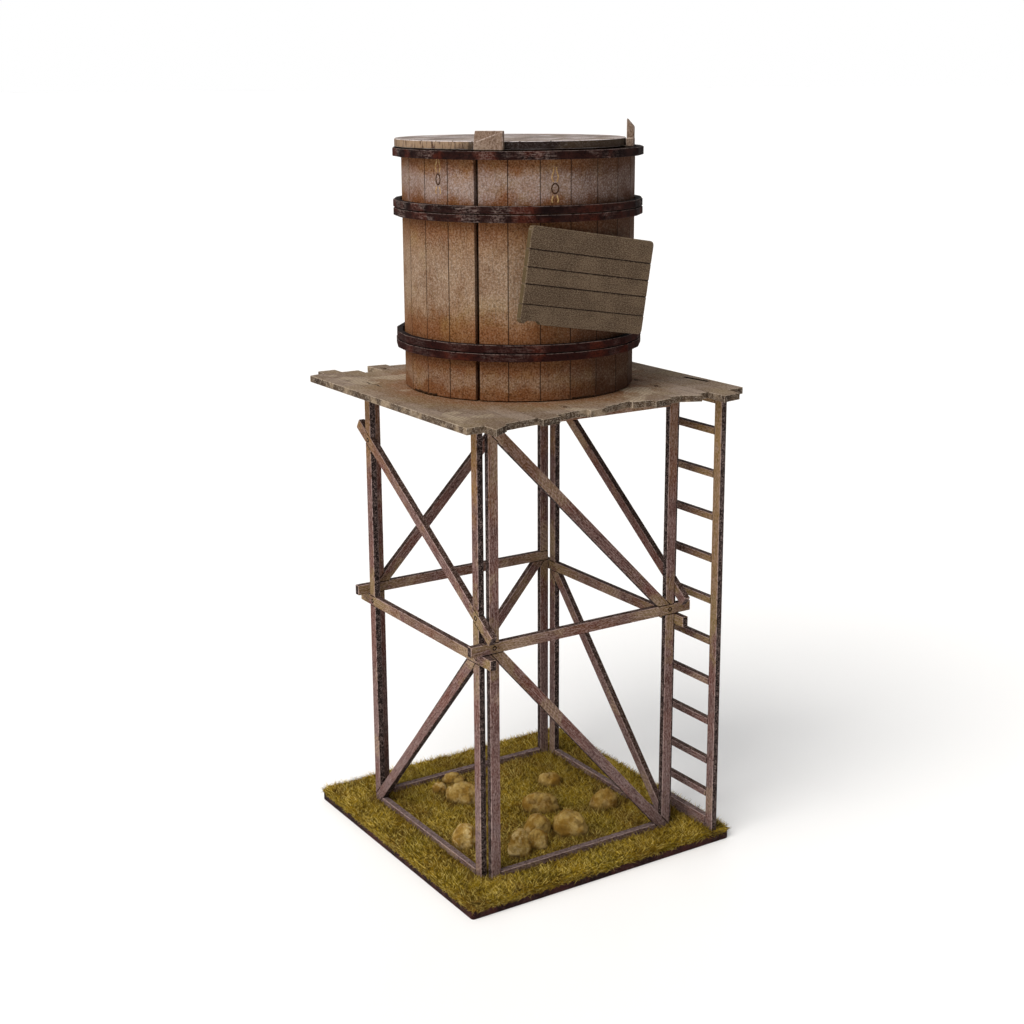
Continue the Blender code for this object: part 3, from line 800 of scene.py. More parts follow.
def mat_height(x, y):
    """The height of the earth at a point, rounded off towards the base's edge."""
    inset = min(x - BASE_LOW[0], BASE_HIGH[0] - x, y - BASE_LOW[1], BASE_HIGH[1] - y)
    swell = 0.35 * noise.noise(Vector((x * 0.09, y * 0.09, 3.1)))
    swell += 0.2 * noise.noise(Vector((x * 0.4, y * 0.4, 8.7)))
    return BASE_TOP + 0.15 + (MAT_TOP - BASE_TOP - 0.15 + swell) * math.sin(unit(inset / 1.6) * math.pi / 2)


def build_base(material):
    """The board under everything, its arrises eased."""
    corners = ((BASE_HIGH[0], BASE_HIGH[1], 0), (BASE_LOW[0], BASE_HIGH[1], 90),
               (BASE_LOW[0], BASE_LOW[1], 180), (BASE_HIGH[0], BASE_LOW[1], 270))
    outline = [point for corner, radius in zip(corners, BASE_CORNERS)
               for point in rounded(*corner, radius, 6)]
    boards = Boards()
    boards.add(outline, [False] * len(outline), BASE_TOP, Matrix.Identity(4), (1, 0), BASE_CHAMFER)
    boards.piece("base_board", material, ["base_plate"], "base_board")


def build_mat(material):
    """The earth on the base, under the grass."""
    wide, deep = (high - low for low, high in zip(BASE_LOW, BASE_HIGH))
    columns, rows = round(wide / MAT_CELL), round(deep / MAT_CELL)
    shape = bmesh.new()
    grid = []
    for row in range(rows + 1):
        line = []
        for column in range(columns + 1):
            x = BASE_LOW[0] + MAT_INSET + (wide - 2 * MAT_INSET) * column / columns
            y = BASE_LOW[1] + MAT_INSET + (deep - 2 * MAT_INSET) * row / rows
            ragged = 0.35 * (0.5 + noise.noise(Vector((x * 0.8, y * 0.8, 1.3))))
            if column in (0, columns):
                x -= math.copysign(ragged, x)
            if row in (0, rows):
                y -= math.copysign(ragged, y)
            line.append(shape.verts.new((x * MM, y * MM, mat_height(x, y) * MM)))
        grid.append(line)
    for near, far in zip(grid, grid[1:]):
        for column in range(columns):
            shape.faces.new((near[column], near[column + 1], far[column + 1], far[column]))
    rim = grid[0] + [line[-1] for line in grid[1:]] + grid[-1][-2::-1] + [line[0] for line in grid[-2:0:-1]]
    under = [shape.verts.new((vert.co.x, vert.co.y, (BASE_TOP + 0.02) * MM)) for vert in rim]
    for number in range(len(rim)):
        after = (number + 1) % len(rim)
        shape.faces.new((under[number], under[after], rim[after], rim[number]))
    shape.faces.new(under[::-1])
    bmesh.ops.recalc_face_normals(shape, faces=shape.faces)
    mesh = to_mesh(shape, "ground_mat")
    mesh.shade_smooth()
    show("ground_mat", mesh, material, ["grass_border", "grass_inside"])


def footprints():
    """Low and high corners of the boxes that no grass grows in, each round a board's foot."""
    near, far, reach = HALF - SHEET - 0.1, HALF + 0.1, POST_OUTER + 0.1
    x, y, wide = LADDER_FOOT[0], LADDER_NEAR, 2 * STILE + LADDER_CLEAR
    return [((-reach, -far), (reach, -near)), ((-reach, near), (reach, far)),
            ((-far, -reach), (-near, reach)), ((near, -reach), (far, reach)),
            ((x - 0.1, y - 0.1), (x + SHEET + 0.1, y + wide + 0.1))]


def grow_grass(material):
    """Closed needles of static grass, at random angles, over the whole base, and a fringe at its edge."""
    draw = np.random.default_rng(SEED)
    low, high = np.array(BASE_LOW), np.array(BASE_HIGH)
    middle, half = (low + high) / 2, (high - low) / 2
    roots = middle + (half - 0.35) * (2 * draw.random((FIBRES, 2)) - 1)
    turn = draw.random(FIBRES) * 2 * np.pi
    tilt = between(FIBRE_LEAN, draw.random(FIBRES) ** 0.8)

    # the fringe: rooted along the four edges, leaning out over them
    along = 2 * draw.random(FRINGE) - 1
    side = draw.integers(0, 4, FRINGE)
    inset = 0.9 * draw.random(FRINGE)
    out = np.array([(1, 0), (0, 1), (-1, 0), (0, -1)])[side]
    edge = middle + out * (half - inset[:, None]) + out[:, ::-1] * along[:, None] * (half - 1.0)
    roots = np.concatenate((roots, edge))
    turn = np.concatenate((turn, np.arctan2(out[:, 1], out[:, 0]) + 1.1 * draw.standard_normal(FRINGE)))
    tilt = np.radians(np.concatenate((tilt, between(FRINGE_LEAN, draw.random(FRINGE)))))

    # no grass in a foot or a stone, and less of it beside them and in thin patches
    worn, keep = np.zeros(len(roots)), np.ones(len(roots), bool)
    for near, far in footprints():
        off = np.hypot(*np.maximum(np.maximum(near - roots, roots - far), 0).T)
        keep &= off > 0
        worn = np.maximum(worn, np.exp(-off / 1.6))
    for name in stone_names():
        near, far = (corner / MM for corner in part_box(name))
        centre, size = (near + far) / 2, (far - near) / 2
        off = np.hypot((roots[:, 0] - centre.x) / size.x, (roots[:, 1] - centre.y) / size.y)
        keep &= off > 0.88
        worn = np.maximum(worn, np.exp(-(off - 0.9) / 0.25))
    thin = np.array([noise.noise(Vector((x * 0.16, y * 0.16, 4.4))) for x, y in roots])
    keep &= draw.random(len(roots)) > 0.55 * np.clip(worn + 1.6 * (thin - 0.22), 0, 1)
    roots, turn, tilt, worn = roots[keep], turn[keep], tilt[keep], worn[keep]

    long = between(FIBRE_LONG, draw.random(len(roots)))
    heights = np.array([mat_height(x, y) for x, y in roots]) - 0.2
    way = np.stack((np.cos(turn) * np.sin(tilt), np.sin(turn) * np.sin(tilt), np.cos(tilt)), 1)
    base = np.column_stack((roots, heights))
    tips = base + way * long[:, None]
    tips[:, :2] = np.clip(tips[:, :2], low - SPILL, high + SPILL)
    way = (tips - base) / np.linalg.norm(tips - base, axis=1)[:, None]
    side = np.cross(way, np.array((0.0, 0.0, 1.0)))
    side /= np.linalg.norm(side, axis=1)[:, None]
    other = np.cross(way, side)
    ring = [base + FIBRE_WIDE / 2 * (np.cos(angle) * side + np.sin(angle) * other)
            for angle in 2 * np.pi * np.arange(3) / 3]
    points = np.stack((*ring, tips), 1)
    inside = (np.abs(roots) < HALF - SHEET / 2).all(1)
    border = np.flatnonzero(~inside)
    shares = {"grass_inner": np.flatnonzero(inside),
              "grass_outer_1": border[::2], "grass_outer_2": border[1::2]}
    corners = np.array([[0, 2, 1], [0, 1, 3], [1, 2, 3], [2, 0, 3]])
    for name, share in shares.items():
        block = points[share].reshape(-1, 3) * MM
        index = (corners[None] + 4 * np.arange(len(share))[:, None, None]).reshape(-1, 3)
        mesh = bpy.data.meshes.new(name)
        mesh.vertices.add(len(block))
        mesh.vertices.foreach_set("co", block.astype(np.float32).ravel())
        mesh.loops.add(index.size)
        mesh.loops.foreach_set("vertex_index", index.ravel().astype(np.int32))
        mesh.polygons.add(len(index))
        mesh.polygons.foreach_set("loop_start", np.arange(0, index.size, 3, dtype=np.int32))
        mesh.update(calc_edges=True)
        mesh.attributes.new("worn", "FLOAT", "POINT").data.foreach_set("value", np.repeat(worn[share], 4))
        show(name, mesh, material, [])


def stone_names():
    """The nodes that are stones."""
    return sorted(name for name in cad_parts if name.startswith("stone"))


def build_stones(material):
    """The stones, with rough, cracked skins."""
    for number, name in enumerate(stone_names()):
        shape = cad_shape(name)
        bmesh.ops.subdivide_edges(shape, edges=shape.edges[:], cuts=4, smooth=0.6, use_grid_fill=True)
        shape.normal_update()
        deep = shape.verts.layers.float.new("deep")
        shift = Vector((7.3 * number, 0, 0))
        for vert in shape.verts:
            spot = vert.co / MM + shift
            warp = spot + 1.6 * noise.noise_vector(spot * 0.3)
            rough = noise.fractal(spot * 0.24, 0.8, 2.1, 5)
            crack = unit(1 - abs(noise.noise(warp * 0.2)) / 0.13) * unit(0.5 + 2 * noise.noise(spot * 0.13))
            step = noise.cell(warp * 0.34) - 0.5
            fine = noise.noise(spot * 1.5)
            vert[deep] = 0.5 + 0.35 * crack - 0.4 * rough - 0.15 * fine
            vert.co += vert.normal * (0.45 * rough + 0.3 * step + 0.08 * fine - 0.3 * crack - 0.1) * MM
        mesh = to_mesh(shape, f"{name}_rough")
        mesh.shade_smooth()
        show(f"{name}_rough", mesh, material, [name])


# ---------------------------------------------------------------- shader helpers


class Value:
    """What a node gives, a number, vector or colour; a sum with it makes one more node."""

    def __init__(self, nodes, socket):
        self.nodes, self.socket = nodes, socket

    def __add__(self, other):
        return self.nodes.math("ADD", self, other)

    def __sub__(self, other):
        return self.nodes.math("SUBTRACT", self, other)

    def __rsub__(self, other):
        return self.nodes.math("SUBTRACT", other, self)

    def __mul__(self, other):
        return self.nodes.math("MULTIPLY", self, other)

    def __abs__(self):
        return self.nodes.math("ABSOLUTE", self)

    __radd__ = __add__


class Nodes:
    """A node tree that is put together node by node."""

    def __init__(self, tree):
        self.tree = tree

    def node(self, kind, **settings):
        """A new node with the given settings."""
        made = self.tree.nodes.new(kind)
        for name, value in settings.items():
            setattr(made, name, value)
        return made

    def feed(self, made, values):
        """Links inputs of a node, by name or number, or sets them to constants."""
        for key, value in values.items():
            socket = made.inputs[key]
            if isinstance(value, Value):
                self.tree.links.new(value.socket, socket)
            else:
                socket.default_value = (*value, 1.0) if socket.type == "RGBA" else value

    def vector(self, operation, a, b=(0, 0, 0)):
        """A vector sum."""
        made = self.node("ShaderNodeVectorMath", operation=operation)
        self.feed(made, {0: a, 1: b})
        return Value(self, made.outputs["Value" if operation in ("LENGTH", "DOT_PRODUCT") else "Vector"])

    def math(self, operation, a, b=0.0, clamp=False):
        """A sum of two numbers."""
        made = self.node("ShaderNodeMath", operation=operation, use_clamp=clamp)
        self.feed(made, {0: a, 1: b})
        return Value(self, made.outputs[0])

    def split(self, vector):
        """The three parts of a vector."""
        made = self.node("ShaderNodeSeparateXYZ")
        self.feed(made, {0: vector})
        return [Value(self, socket) for socket in made.outputs]

    def ramp(self, value, low, high, out_low=0.0, out_high=1.0, kind="LINEAR"):
        """A ramp from low to high that is level outside them."""
        made = self.node("ShaderNodeMapRange", interpolation_type=kind)
        labels = ("Value", "From Min", "From Max", "To Min", "To Max")
        self.feed(made, dict(zip(labels, (value, low, high, out_low, out_high))))
        return Value(self, made.outputs["Result"])

    def step(self, *values):
        """A ramp with soft ends."""
        return self.ramp(*values, kind="SMOOTHSTEP")


class Shader(Nodes):
    """A Principled material; place, x, y and z are in millimetres and grain is the UV."""

    def __init__(self, name):
        self.material = bpy.data.materials.new(name)
        self.material.use_nodes = True
        super().__init__(self.material.node_tree)
        self.bsdf = self.tree.nodes["Principled BSDF"]
        where = self.node("ShaderNodeTexCoord").outputs
        self.place = self.vector("MULTIPLY", Value(self, where["Object"]), (1000, 1000, 1000))
        self.x, self.y, self.z = self.split(self.place)
        self.normal = self.split(Value(self, where["Normal"]))
        self.grain = Value(self, where["UV"])
        self.island = Value(self, self.node("ShaderNodeNewGeometry").outputs["Random Per Island"])

    def part(self, a, b):
        """The product of two numbers, kept between 0 and 1."""
        return self.math("MULTIPLY", a, b, clamp=True)

    def most(self, first, *others):
        """The largest of some numbers."""
        for other in others:
            first = self.math("MAXIMUM", first, other)
        return first

    def noise(self, scale, detail=2.0, roughness=0.55, over=None, shift=None, stretch=None):
        """Noise from 0 to 1 over a vector, or over the place; scale is per millimetre."""
        vector = self.place if over is None else over
        if shift:
            vector = self.vector("ADD", vector, shift)
        if stretch:
            vector = self.vector("MULTIPLY", vector, stretch)
        made = self.node("ShaderNodeTexNoise")
        self.feed(made, {"Vector": vector, "Scale": scale, "Detail": detail, "Roughness": roughness})
        return Value(self, made.outputs["Fac"])

    def mix(self, share, a, b):
        """Colour a, with the given share of colour b."""
        made = self.node("ShaderNodeMix", data_type="RGBA")
        self.feed(made, {"Factor": share, 6: a, 7: b})
        return Value(self, made.outputs[2])

    def attribute(self, name):
        """A number stored on the mesh."""
        return Value(self, self.node("ShaderNodeAttribute", attribute_name=name).outputs["Fac"])

    def rightward(self, centre):
        """How far to the camera's right of an upright axis a place is."""
        return self.vector("DOT_PRODUCT", self.vector("SUBTRACT", self.place, (*centre, 0)), RIGHTWARD)

    def finish(self, colour, roughness, bump=None, height=0.1, strength=0.5, specular=0.06):
        """Connects the colour and the relief, and returns the material."""
        self.feed(self.bsdf, {"Base Color": colour, "Roughness": roughness, "Specular IOR Level": specular})
        if bump is not None:
            made = self.node("ShaderNodeBump")
            self.feed(made, {"Strength": strength, "Distance": height * MM, "Height": bump})
            self.feed(self.bsdf, {"Normal": Value(self, made.outputs["Normal"])})
        return self.material


def painted_wood(name, tones, dark, dry, cut, top=None, brush=0.5, grit=0.5, specks=0.5, flecks=0.0, veil=0.0,
                 stroke=(0.45, 2.6, 1), pores=None, joint=0.95, groove=0.93, height=0.16, edge=0.75,
                 stain=None, grey=None, sawn=None, bloom=None):
    """Painted and dry-brushed board.

    Two tones in blotches, dark grain, speckle (drawn out along the grain if the board has pores), a veil
    and strokes of dry paint, worn free arrises, sawn sides of their own colour, and burnt grooves, which
    joint and groove darken between upright and level boards. Top is the colour of sawn sides that face
    up. Four functions change things by place: stain the colour, grey the amount of dry paint, bloom its
    colour, and sawn the colour of the sawn sides. On some boards stain and grey also paint in light and
    shade.
    """
    s = Shader(name)
    up = s.normal[2]
    tone = s.noise(0.12, 3.0) + (s.island - 0.5) * 0.24
    colour = s.mix(s.step(tone, 0.34, 0.66), *tones)
    streak = s.noise(1.0, 4.0, 0.62, s.grain, stretch=(0.13, 1.7, 1))
    colour = s.mix(s.step(streak, 0.50, 0.70) * 0.62, colour, dark)
    if stain:
        colour = stain(s, colour)
    fine = s.noise(1.0, 3.0, 0.75, s.grain, stretch=pores) if pores else s.noise(1.9, 3.0, 0.75)
    coarse = s.noise(0.8, 3.0, 0.6)
    colour = s.mix(s.step(fine, 0.36, 0.52, 1, 0) * grit, colour, dark)
    worn = grey(s) if grey else 1.0
    if bloom:
        dry = bloom(s, dry)
    if veil:
        colour = s.mix(s.part(worn, veil), colour, dry)
    strokes = s.noise(1.0, 3.0, 0.65, s.grain, stretch=stroke)
    share = s.step(strokes * 0.5 + fine * 0.5, 0.45, 0.62) * brush
    colour = s.mix(s.part(share, worn), colour, dry)
    if flecks:
        share = s.step(fine, 0.50, 0.62) * flecks
        colour = s.mix(s.part(share, worn + 0.25) if grey else share, colour, dry)
    side = cut
    if top:
        side = s.mix(s.step(up, 0.3, 0.8), cut, s.mix(s.step(coarse, 0.42, 0.58, 0.0, 0.85), top, dark))
    if sawn:
        side = sawn(s, side)
    chips = coarse * 0.3 + s.noise(3.0, 2.0, 0.8) * 0.7
    side = s.mix(s.step(chips, 0.47, 0.66) * specks, side, dry)
    colour = s.mix(s.attribute("cut"), colour, side)
    worn_arris = s.attribute("arris") * s.step(coarse + fine, 0.82, 1.06) * s.step(up, -0.5, 0.1, 0.15, 1.0)
    colour = s.mix(worn_arris * edge, colour, dry)
    colour = s.mix(s.attribute("seam") * s.step(up, 0.2, 0.6, joint, groove), colour, BURNT)
    roughness, relief = s.step(fine, 0.3, 0.7, 0.62, 0.85), streak * 0.6 + fine * 0.6
    return s.finish(colour, roughness, relief, height=height, strength=0.8, specular=0.02)


# ---------------------------------------------------------------- looks by place


def timber_stain_light_and_shade(s, colour):
    """Golden olive under the deck and near the middle rails, more of it on the left faces as painted light,
    rust in patches, painted shade towards the ladder's back and on the foot rails' sides in the grass, and
    slanting tool marks here and there."""
    cloud = s.noise(0.13, 4.0, 0.6)
    height = s.z + (cloud - 0.5) * 70
    # painted light: faces turned to the left, towards the lamp, get more of the golden olive and the olive
    left = s.step(s.normal[0], -0.9, -0.5, 1, 0)
    red = s.noise(0.08, 3.0, shift=(31, 7, 12))
    colour = s.mix(s.step(red, 0.44, 0.60) * 0.75, colour, (0.122, 0.040, 0.027))
    near_deck = s.step(height, 112, 146) * (left * 0.6 + 0.3)
    colour = s.mix(near_deck, colour, (0.270, 0.145, 0.040))
    ladder = s.step(s.x, 43.2, 43.5)
    gold = s.step(height, 60, 100) * s.step(s.y, -46, -28, 0.75, 0.15)
    colour = s.mix(ladder * gold, colour, (0.285, 0.180, 0.070))
    # painted shade on the ladder towards its back
    shade = s.step(s.y, -42, -27) * s.step(s.y, -24.4, -24.2, 0.75, 0.0)
    colour = s.mix(ladder * shade, colour, (0.045, 0.022, 0.014))
    # painted shade on the sides of the foot rails, down in the grass
    shaded_in_grass = s.step(s.z, 5.6, 6.0, 0.6, 0.0) * s.step(s.normal[2], 0.3, 0.6, 1, 0)
    colour = s.mix(shaded_in_grass, colour, (0.050, 0.028, 0.018))
    rail = s.step(abs(height - 82), 1, 14, 1, 0) * (left * 0.3 + 0.6)
    off_middle = s.step(s.math("MINIMUM", abs(s.x), abs(s.y)), 12, 33, 0.25, 1.0)
    colour = s.mix(rail * off_middle, colour, (0.235, 0.160, 0.060))
    low = s.step(height, 62, 30) * s.step(cloud, 0.4, 0.6, 0.2, 0.65)
    colour = s.mix(low, colour, (0.175, 0.125, 0.122))
    return tool_marks_and_glints(s, colour, (0.30, 0.21, 0.13))


def timber_sawn(s, colour):
    """The sawn sides are near black above the foot rails."""
    dark = s.mix(s.step(s.normal[2], 0.2, 0.6), (0.013, 0.008, 0.007), (0.034, 0.018, 0.013))
    return s.mix(s.step(s.z, FOOT_RAIL_TOP + 2, FOOT_RAIL_TOP + 3), colour, dark)


def tool_marks_and_glints(s, colour, light):
    """Slanting light scratches in a few places, and at the scored spots; on the deck these strokes are
    painted glints.
    """
    along, across, _ = s.split(s.grain)
    wave = s.math("SINE", (along + across * 0.7) * 3.7)
    where = s.step(s.noise(0.06, 2.0, shift=(70, 20, 5)), 0.58, 0.64)
    for spot in SCORED:
        off = s.most(*(abs(value - middle) for value, middle in zip((s.x, s.y, s.z), spot)))
        where = s.most(where, s.step(off, 4, 7.5, 1, 0))
    colour = s.mix(where * 0.4, colour, light)
    return s.mix(where * s.step(wave, 0.35, 0.8) * 0.8, colour, light)


def deck_stain_and_glints(s, colour):
    """Silvery olive round the rim, a rusty ring round the tank's foot, and slanting painted glints."""
    flat = s.vector("MULTIPLY", s.vector("SUBTRACT", s.place, (*TANK_AXIS, 0)), (1, 1, 0))
    out = s.vector("LENGTH", flat) - (s.noise(0.11, 4.0, 0.65) - 0.5) * 20
    patch = s.noise(0.07, 3.0, shift=(13, 44, 0))
    colour = s.mix(s.step(patch, 0.46, 0.66) * 0.6, colour, (0.215, 0.155, 0.080))
    colour = s.mix(s.step(out, 42, 54, 1, 0) * 0.65, colour, (0.185, 0.090, 0.028))
    colour = s.mix(s.step(out, 36.5, 45, 1, 0) * 0.85, colour, (0.180, 0.066, 0.018))
    # painted glints: light slanting strokes on the planks
    return tool_marks_and_glints(s, colour, (0.42, 0.34, 0.24))


def deck_ends(s, colour):
    """Pale and near-black patches on the planks' sawn ends."""
    patch = s.noise(0.16, 3.0)
    colour = s.mix(s.step(patch, 0.48, 0.62) * 0.8, colour, (0.27, 0.20, 0.13))
    return s.mix(s.step(patch, 0.36, 0.44, 1, 0) * 0.8, colour, (0.020, 0.011, 0.008))


def tank_grey(s):
    """Most dry paint halfway between the hoops, hardly any beside them."""
    cloud = s.noise(0.12, 4.0, 0.6)
    height = s.z + (cloud - 0.5) * 14
    total = 0.06
    for level, reach, strong in GREY_LEVELS:
        total = total + s.step(abs(height - level), reach * 0.15, reach, strong, 0)
    # less dry paint on the right side, under the painted shade
    return total * s.step(cloud, 0.3, 0.6, 0.6, 1.1) * (1.0 - tank_shaded_side(s) * 0.65)


def tank_stain_and_shade(s, colour):
    """Rust beside the hoops and at the foot, ochre patches, and painted shade on the staves of the right
    side, away from the light.
    """
    height = s.z + (s.noise(0.15, 4.0, 0.6, stretch=(1, 1, 0.6)) - 0.5) * 15
    ochre = s.noise(0.09, 3.0, shift=(5, 60, 9))
    colour = s.mix(s.step(ochre, 0.5, 0.66) * 0.5, colour, (0.25, 0.150, 0.045))
    for level, reach in RUST_LEVELS:
        colour = s.mix(s.step(abs(height - level), 0.5, reach, 1, 0) * 0.65, colour, (0.165, 0.050, 0.014))
    # painted shade on the tank's right side
    return s.mix(tank_shaded_side(s) * 0.82, colour, (0.040, 0.018, 0.012))


def tank_bloom(s, colour):
    """The paint of the dry strokes: lilac grey between the upper hoops, warm elsewhere."""
    return s.mix(s.step(abs(s.z - LILAC_HEIGHT), 4, 8, 0.8, 0), colour, (0.33, 0.28, 0.28))


def tank_shaded_side(s):
    """How much painted shade: from 0 on the tank's left and front to 1 on its right side, away from the
    light.
    """
    cloud = s.noise(0.15, 4.0, 0.6, stretch=(1, 1, 0.6))
    return s.step(s.rightward(TANK_AXIS) + (cloud - 0.5) * 22, 3, 30)


def hoop_dry_paint_and_light(s):
    """Dry paint in a few stretches of each hoop, most of it on the left, as painted light, and on the upper
    hoops.
    """
    # the extra share on the left is painted light
    share = s.noise(0.09, 3.0, shift=(3, 3, 3)) + s.step(s.x, -32, 10, 0.12, 0)
    return s.step(share, 0.56, 0.68, 0.05, 1.7) * s.step(s.z, *ABOVE_LOW_HOOPS, 0.35, 1.0)


def hoop_stain(s, colour):
    """The two low hoops nearer to black, and red rust in patches."""
    colour = s.mix(s.step(s.z, *ABOVE_LOW_HOOPS, 0.45, 0.0), colour, (0.034, 0.008, 0.006))
    patch = s.noise(0.10, 3.0, shift=(8, 1, 30))
    return s.mix(s.step(patch, 0.50, 0.64) * 0.8, colour, (0.060, 0.013, 0.007))


def lid_grey(s):
    """Dry paint over the top of the lid, thickest in soft patches along the boards."""
    return s.step(s.noise(1.0, 4.0, 0.6, s.grain, stretch=(0.07, 0.16, 1)), 0.40, 0.68, 0.2, 1.25)


def lid_stain(s, colour):
    """Olive tan in patches."""
    patch = s.noise(0.12, 3.0, shift=(40, 2, 3))
    return s.mix(s.step(patch, 0.44, 0.60) * 0.7, colour, (0.215, 0.150, 0.088))


def lid_rim(s, colour):
    """The lid's rim: bare tan with dark ticks on the left, near black in front, the painted shadow of the
    front tab, olive on the right.
    """
    side = s.rightward(LID_CENTRE) + (s.noise(0.3, 3.0) - 0.5) * 16
    ticks = s.noise(1.1, 2.0, stretch=(1, 1, 0.2))
    tan = s.mix(s.step(ticks, 0.50, 0.62), (0.26, 0.175, 0.110), (0.070, 0.036, 0.022))
    colour = s.mix(s.step(side, -16, -11), tan, colour)
    # painted shadow of the front tab on the rim
    front = s.step(side, -11, -7) * s.step(side, 12, 18, 1, 0)
    return s.mix(front * 0.85, colour, (0.012, 0.006, 0.006))


def base_rim(s, inner, outer):
    """A number that changes from inner to outer at the base's edge."""
    off = [abs(value - (low + high) / 2) - (high - low) / 2
           for value, low, high in zip((s.x, s.y), BASE_LOW, BASE_HIGH)]
    return s.step(s.most(*off), -1.6, -0.4, inner, outer)


def grass_colour(s):
    """Straw, olive and brown patches, browner between the frames."""
    colour = s.mix(s.step(s.noise(0.07, 3.0), 0.38, 0.62), (0.385, 0.235, 0.014), (0.560, 0.375, 0.034))
    green = s.noise(0.05, 2.0, shift=(50, 20, 0))
    colour = s.mix(s.step(green, 0.5, 0.66) * 0.35, colour, (0.250, 0.215, 0.012))
    inside = s.step(s.most(abs(s.x), abs(s.y)), 33, 37, 0.10, 0)
    brown = s.noise(0.09, 3.0, shift=(0, 90, 0)) + inside
    return s.mix(s.step(brown, 0.52, 0.68) * 0.6, colour, (0.250, 0.130, 0.035))


# ---------------------------------------------------------------- materials


def speckled(name, low, high, tones, roughness):
    """Plain stuff in two tones, mixed by a fine grit between low and high."""
    s = Shader(name)
    grit = s.noise(2.0)
    return s.finish(s.mix(s.step(grit, low, high), *tones), roughness, grit)


def base_edge():
    """The base's dark sawn edge, with light specks."""
    s = Shader("base_edge")
    speckle = s.noise(2.2, 3.0, 0.7)
    band = s.noise(0.25, 3.0, stretch=(1, 1, 0.3))
    colour = s.mix(s.step(band, 0.35, 0.7), (0.012, 0.004, 0.004), (0.040, 0.012, 0.011))
    colour = s.mix(s.step(speckle, 0.56, 0.68) * 0.4, colour, (0.19, 0.13, 0.125))
    return s.finish(colour, 0.65, speckle)


def earth():
    """The ground under the grass, lighter at the base's edge as painted light."""
    s = Shader("earth")
    # painted light: less of the dark at the base's edge
    colour = s.mix(base_rim(s, 0.55, 0.35), grass_colour(s), (0.030, 0.020, 0.006))
    return s.finish(colour, 0.95, s.noise(1.5, 4.0), height=0.4, strength=1.0)


def static_grass():
    """The needles: some pale, some dark, darker where they are worn, and darker at their feet as painted
    shade, less so at the base's edge.
    """
    s = Shader("static_grass")
    colour = s.mix(s.step(s.island, 0.60, 0.92, 0.0, 0.95), grass_colour(s), (0.86, 0.66, 0.18))
    colour = s.mix(s.step(s.island, 0.05, 0.38, 0.9, 0.0), colour, (0.055, 0.034, 0.006))
    colour = s.mix(s.attribute("worn") * 0.75, colour, (0.10, 0.054, 0.020))
    # painted shade at the needles' feet, half as much at the base's edge
    foot = s.step(s.z, MAT_TOP - 0.2, MAT_TOP + 1.3, 0.75, 0.0) * base_rim(s, 1.0, 0.5)
    return s.finish(s.mix(foot, colour, (0.028, 0.018, 0.004)), 0.9, specular=0.08)


def stone_paint():
    """Sandstone in blotches, bleached most on the left, dark in its pores and its cracks, and darker at its
    foot as painted shade.
    """
    s = Shader("stone_paint")
    colour = s.mix(s.step(s.noise(0.2, 4.0, 0.6), 0.38, 0.62), (0.225, 0.122, 0.020), (0.38, 0.255, 0.075))
    pale = s.noise(0.3, 4.0, 0.7, shift=(9, 9, 9))
    bleached = s.step(pale, 0.46, 0.66) * s.step(s.x, -28, 0, 0.95, 0.35)
    colour = s.mix(bleached, colour, (0.56, 0.42, 0.19))
    speckle = s.noise(1.9, 4.0, 0.7)
    colour = s.mix(s.step(speckle, 0.50, 0.66) * 0.36, colour, STONE_DARK)
    colour = s.mix(s.step(s.attribute("deep"), 0.55, 0.95) * 0.6, colour, STONE_DARK)
    # painted shade at the stone's foot
    low = s.step(s.z + speckle * 3, 5.2, 8.0, 1, 0)
    colour = s.mix(low * 0.7, colour, (0.065, 0.038, 0.010))
    return s.finish(colour, 0.88, speckle, height=0.25, strength=0.8)


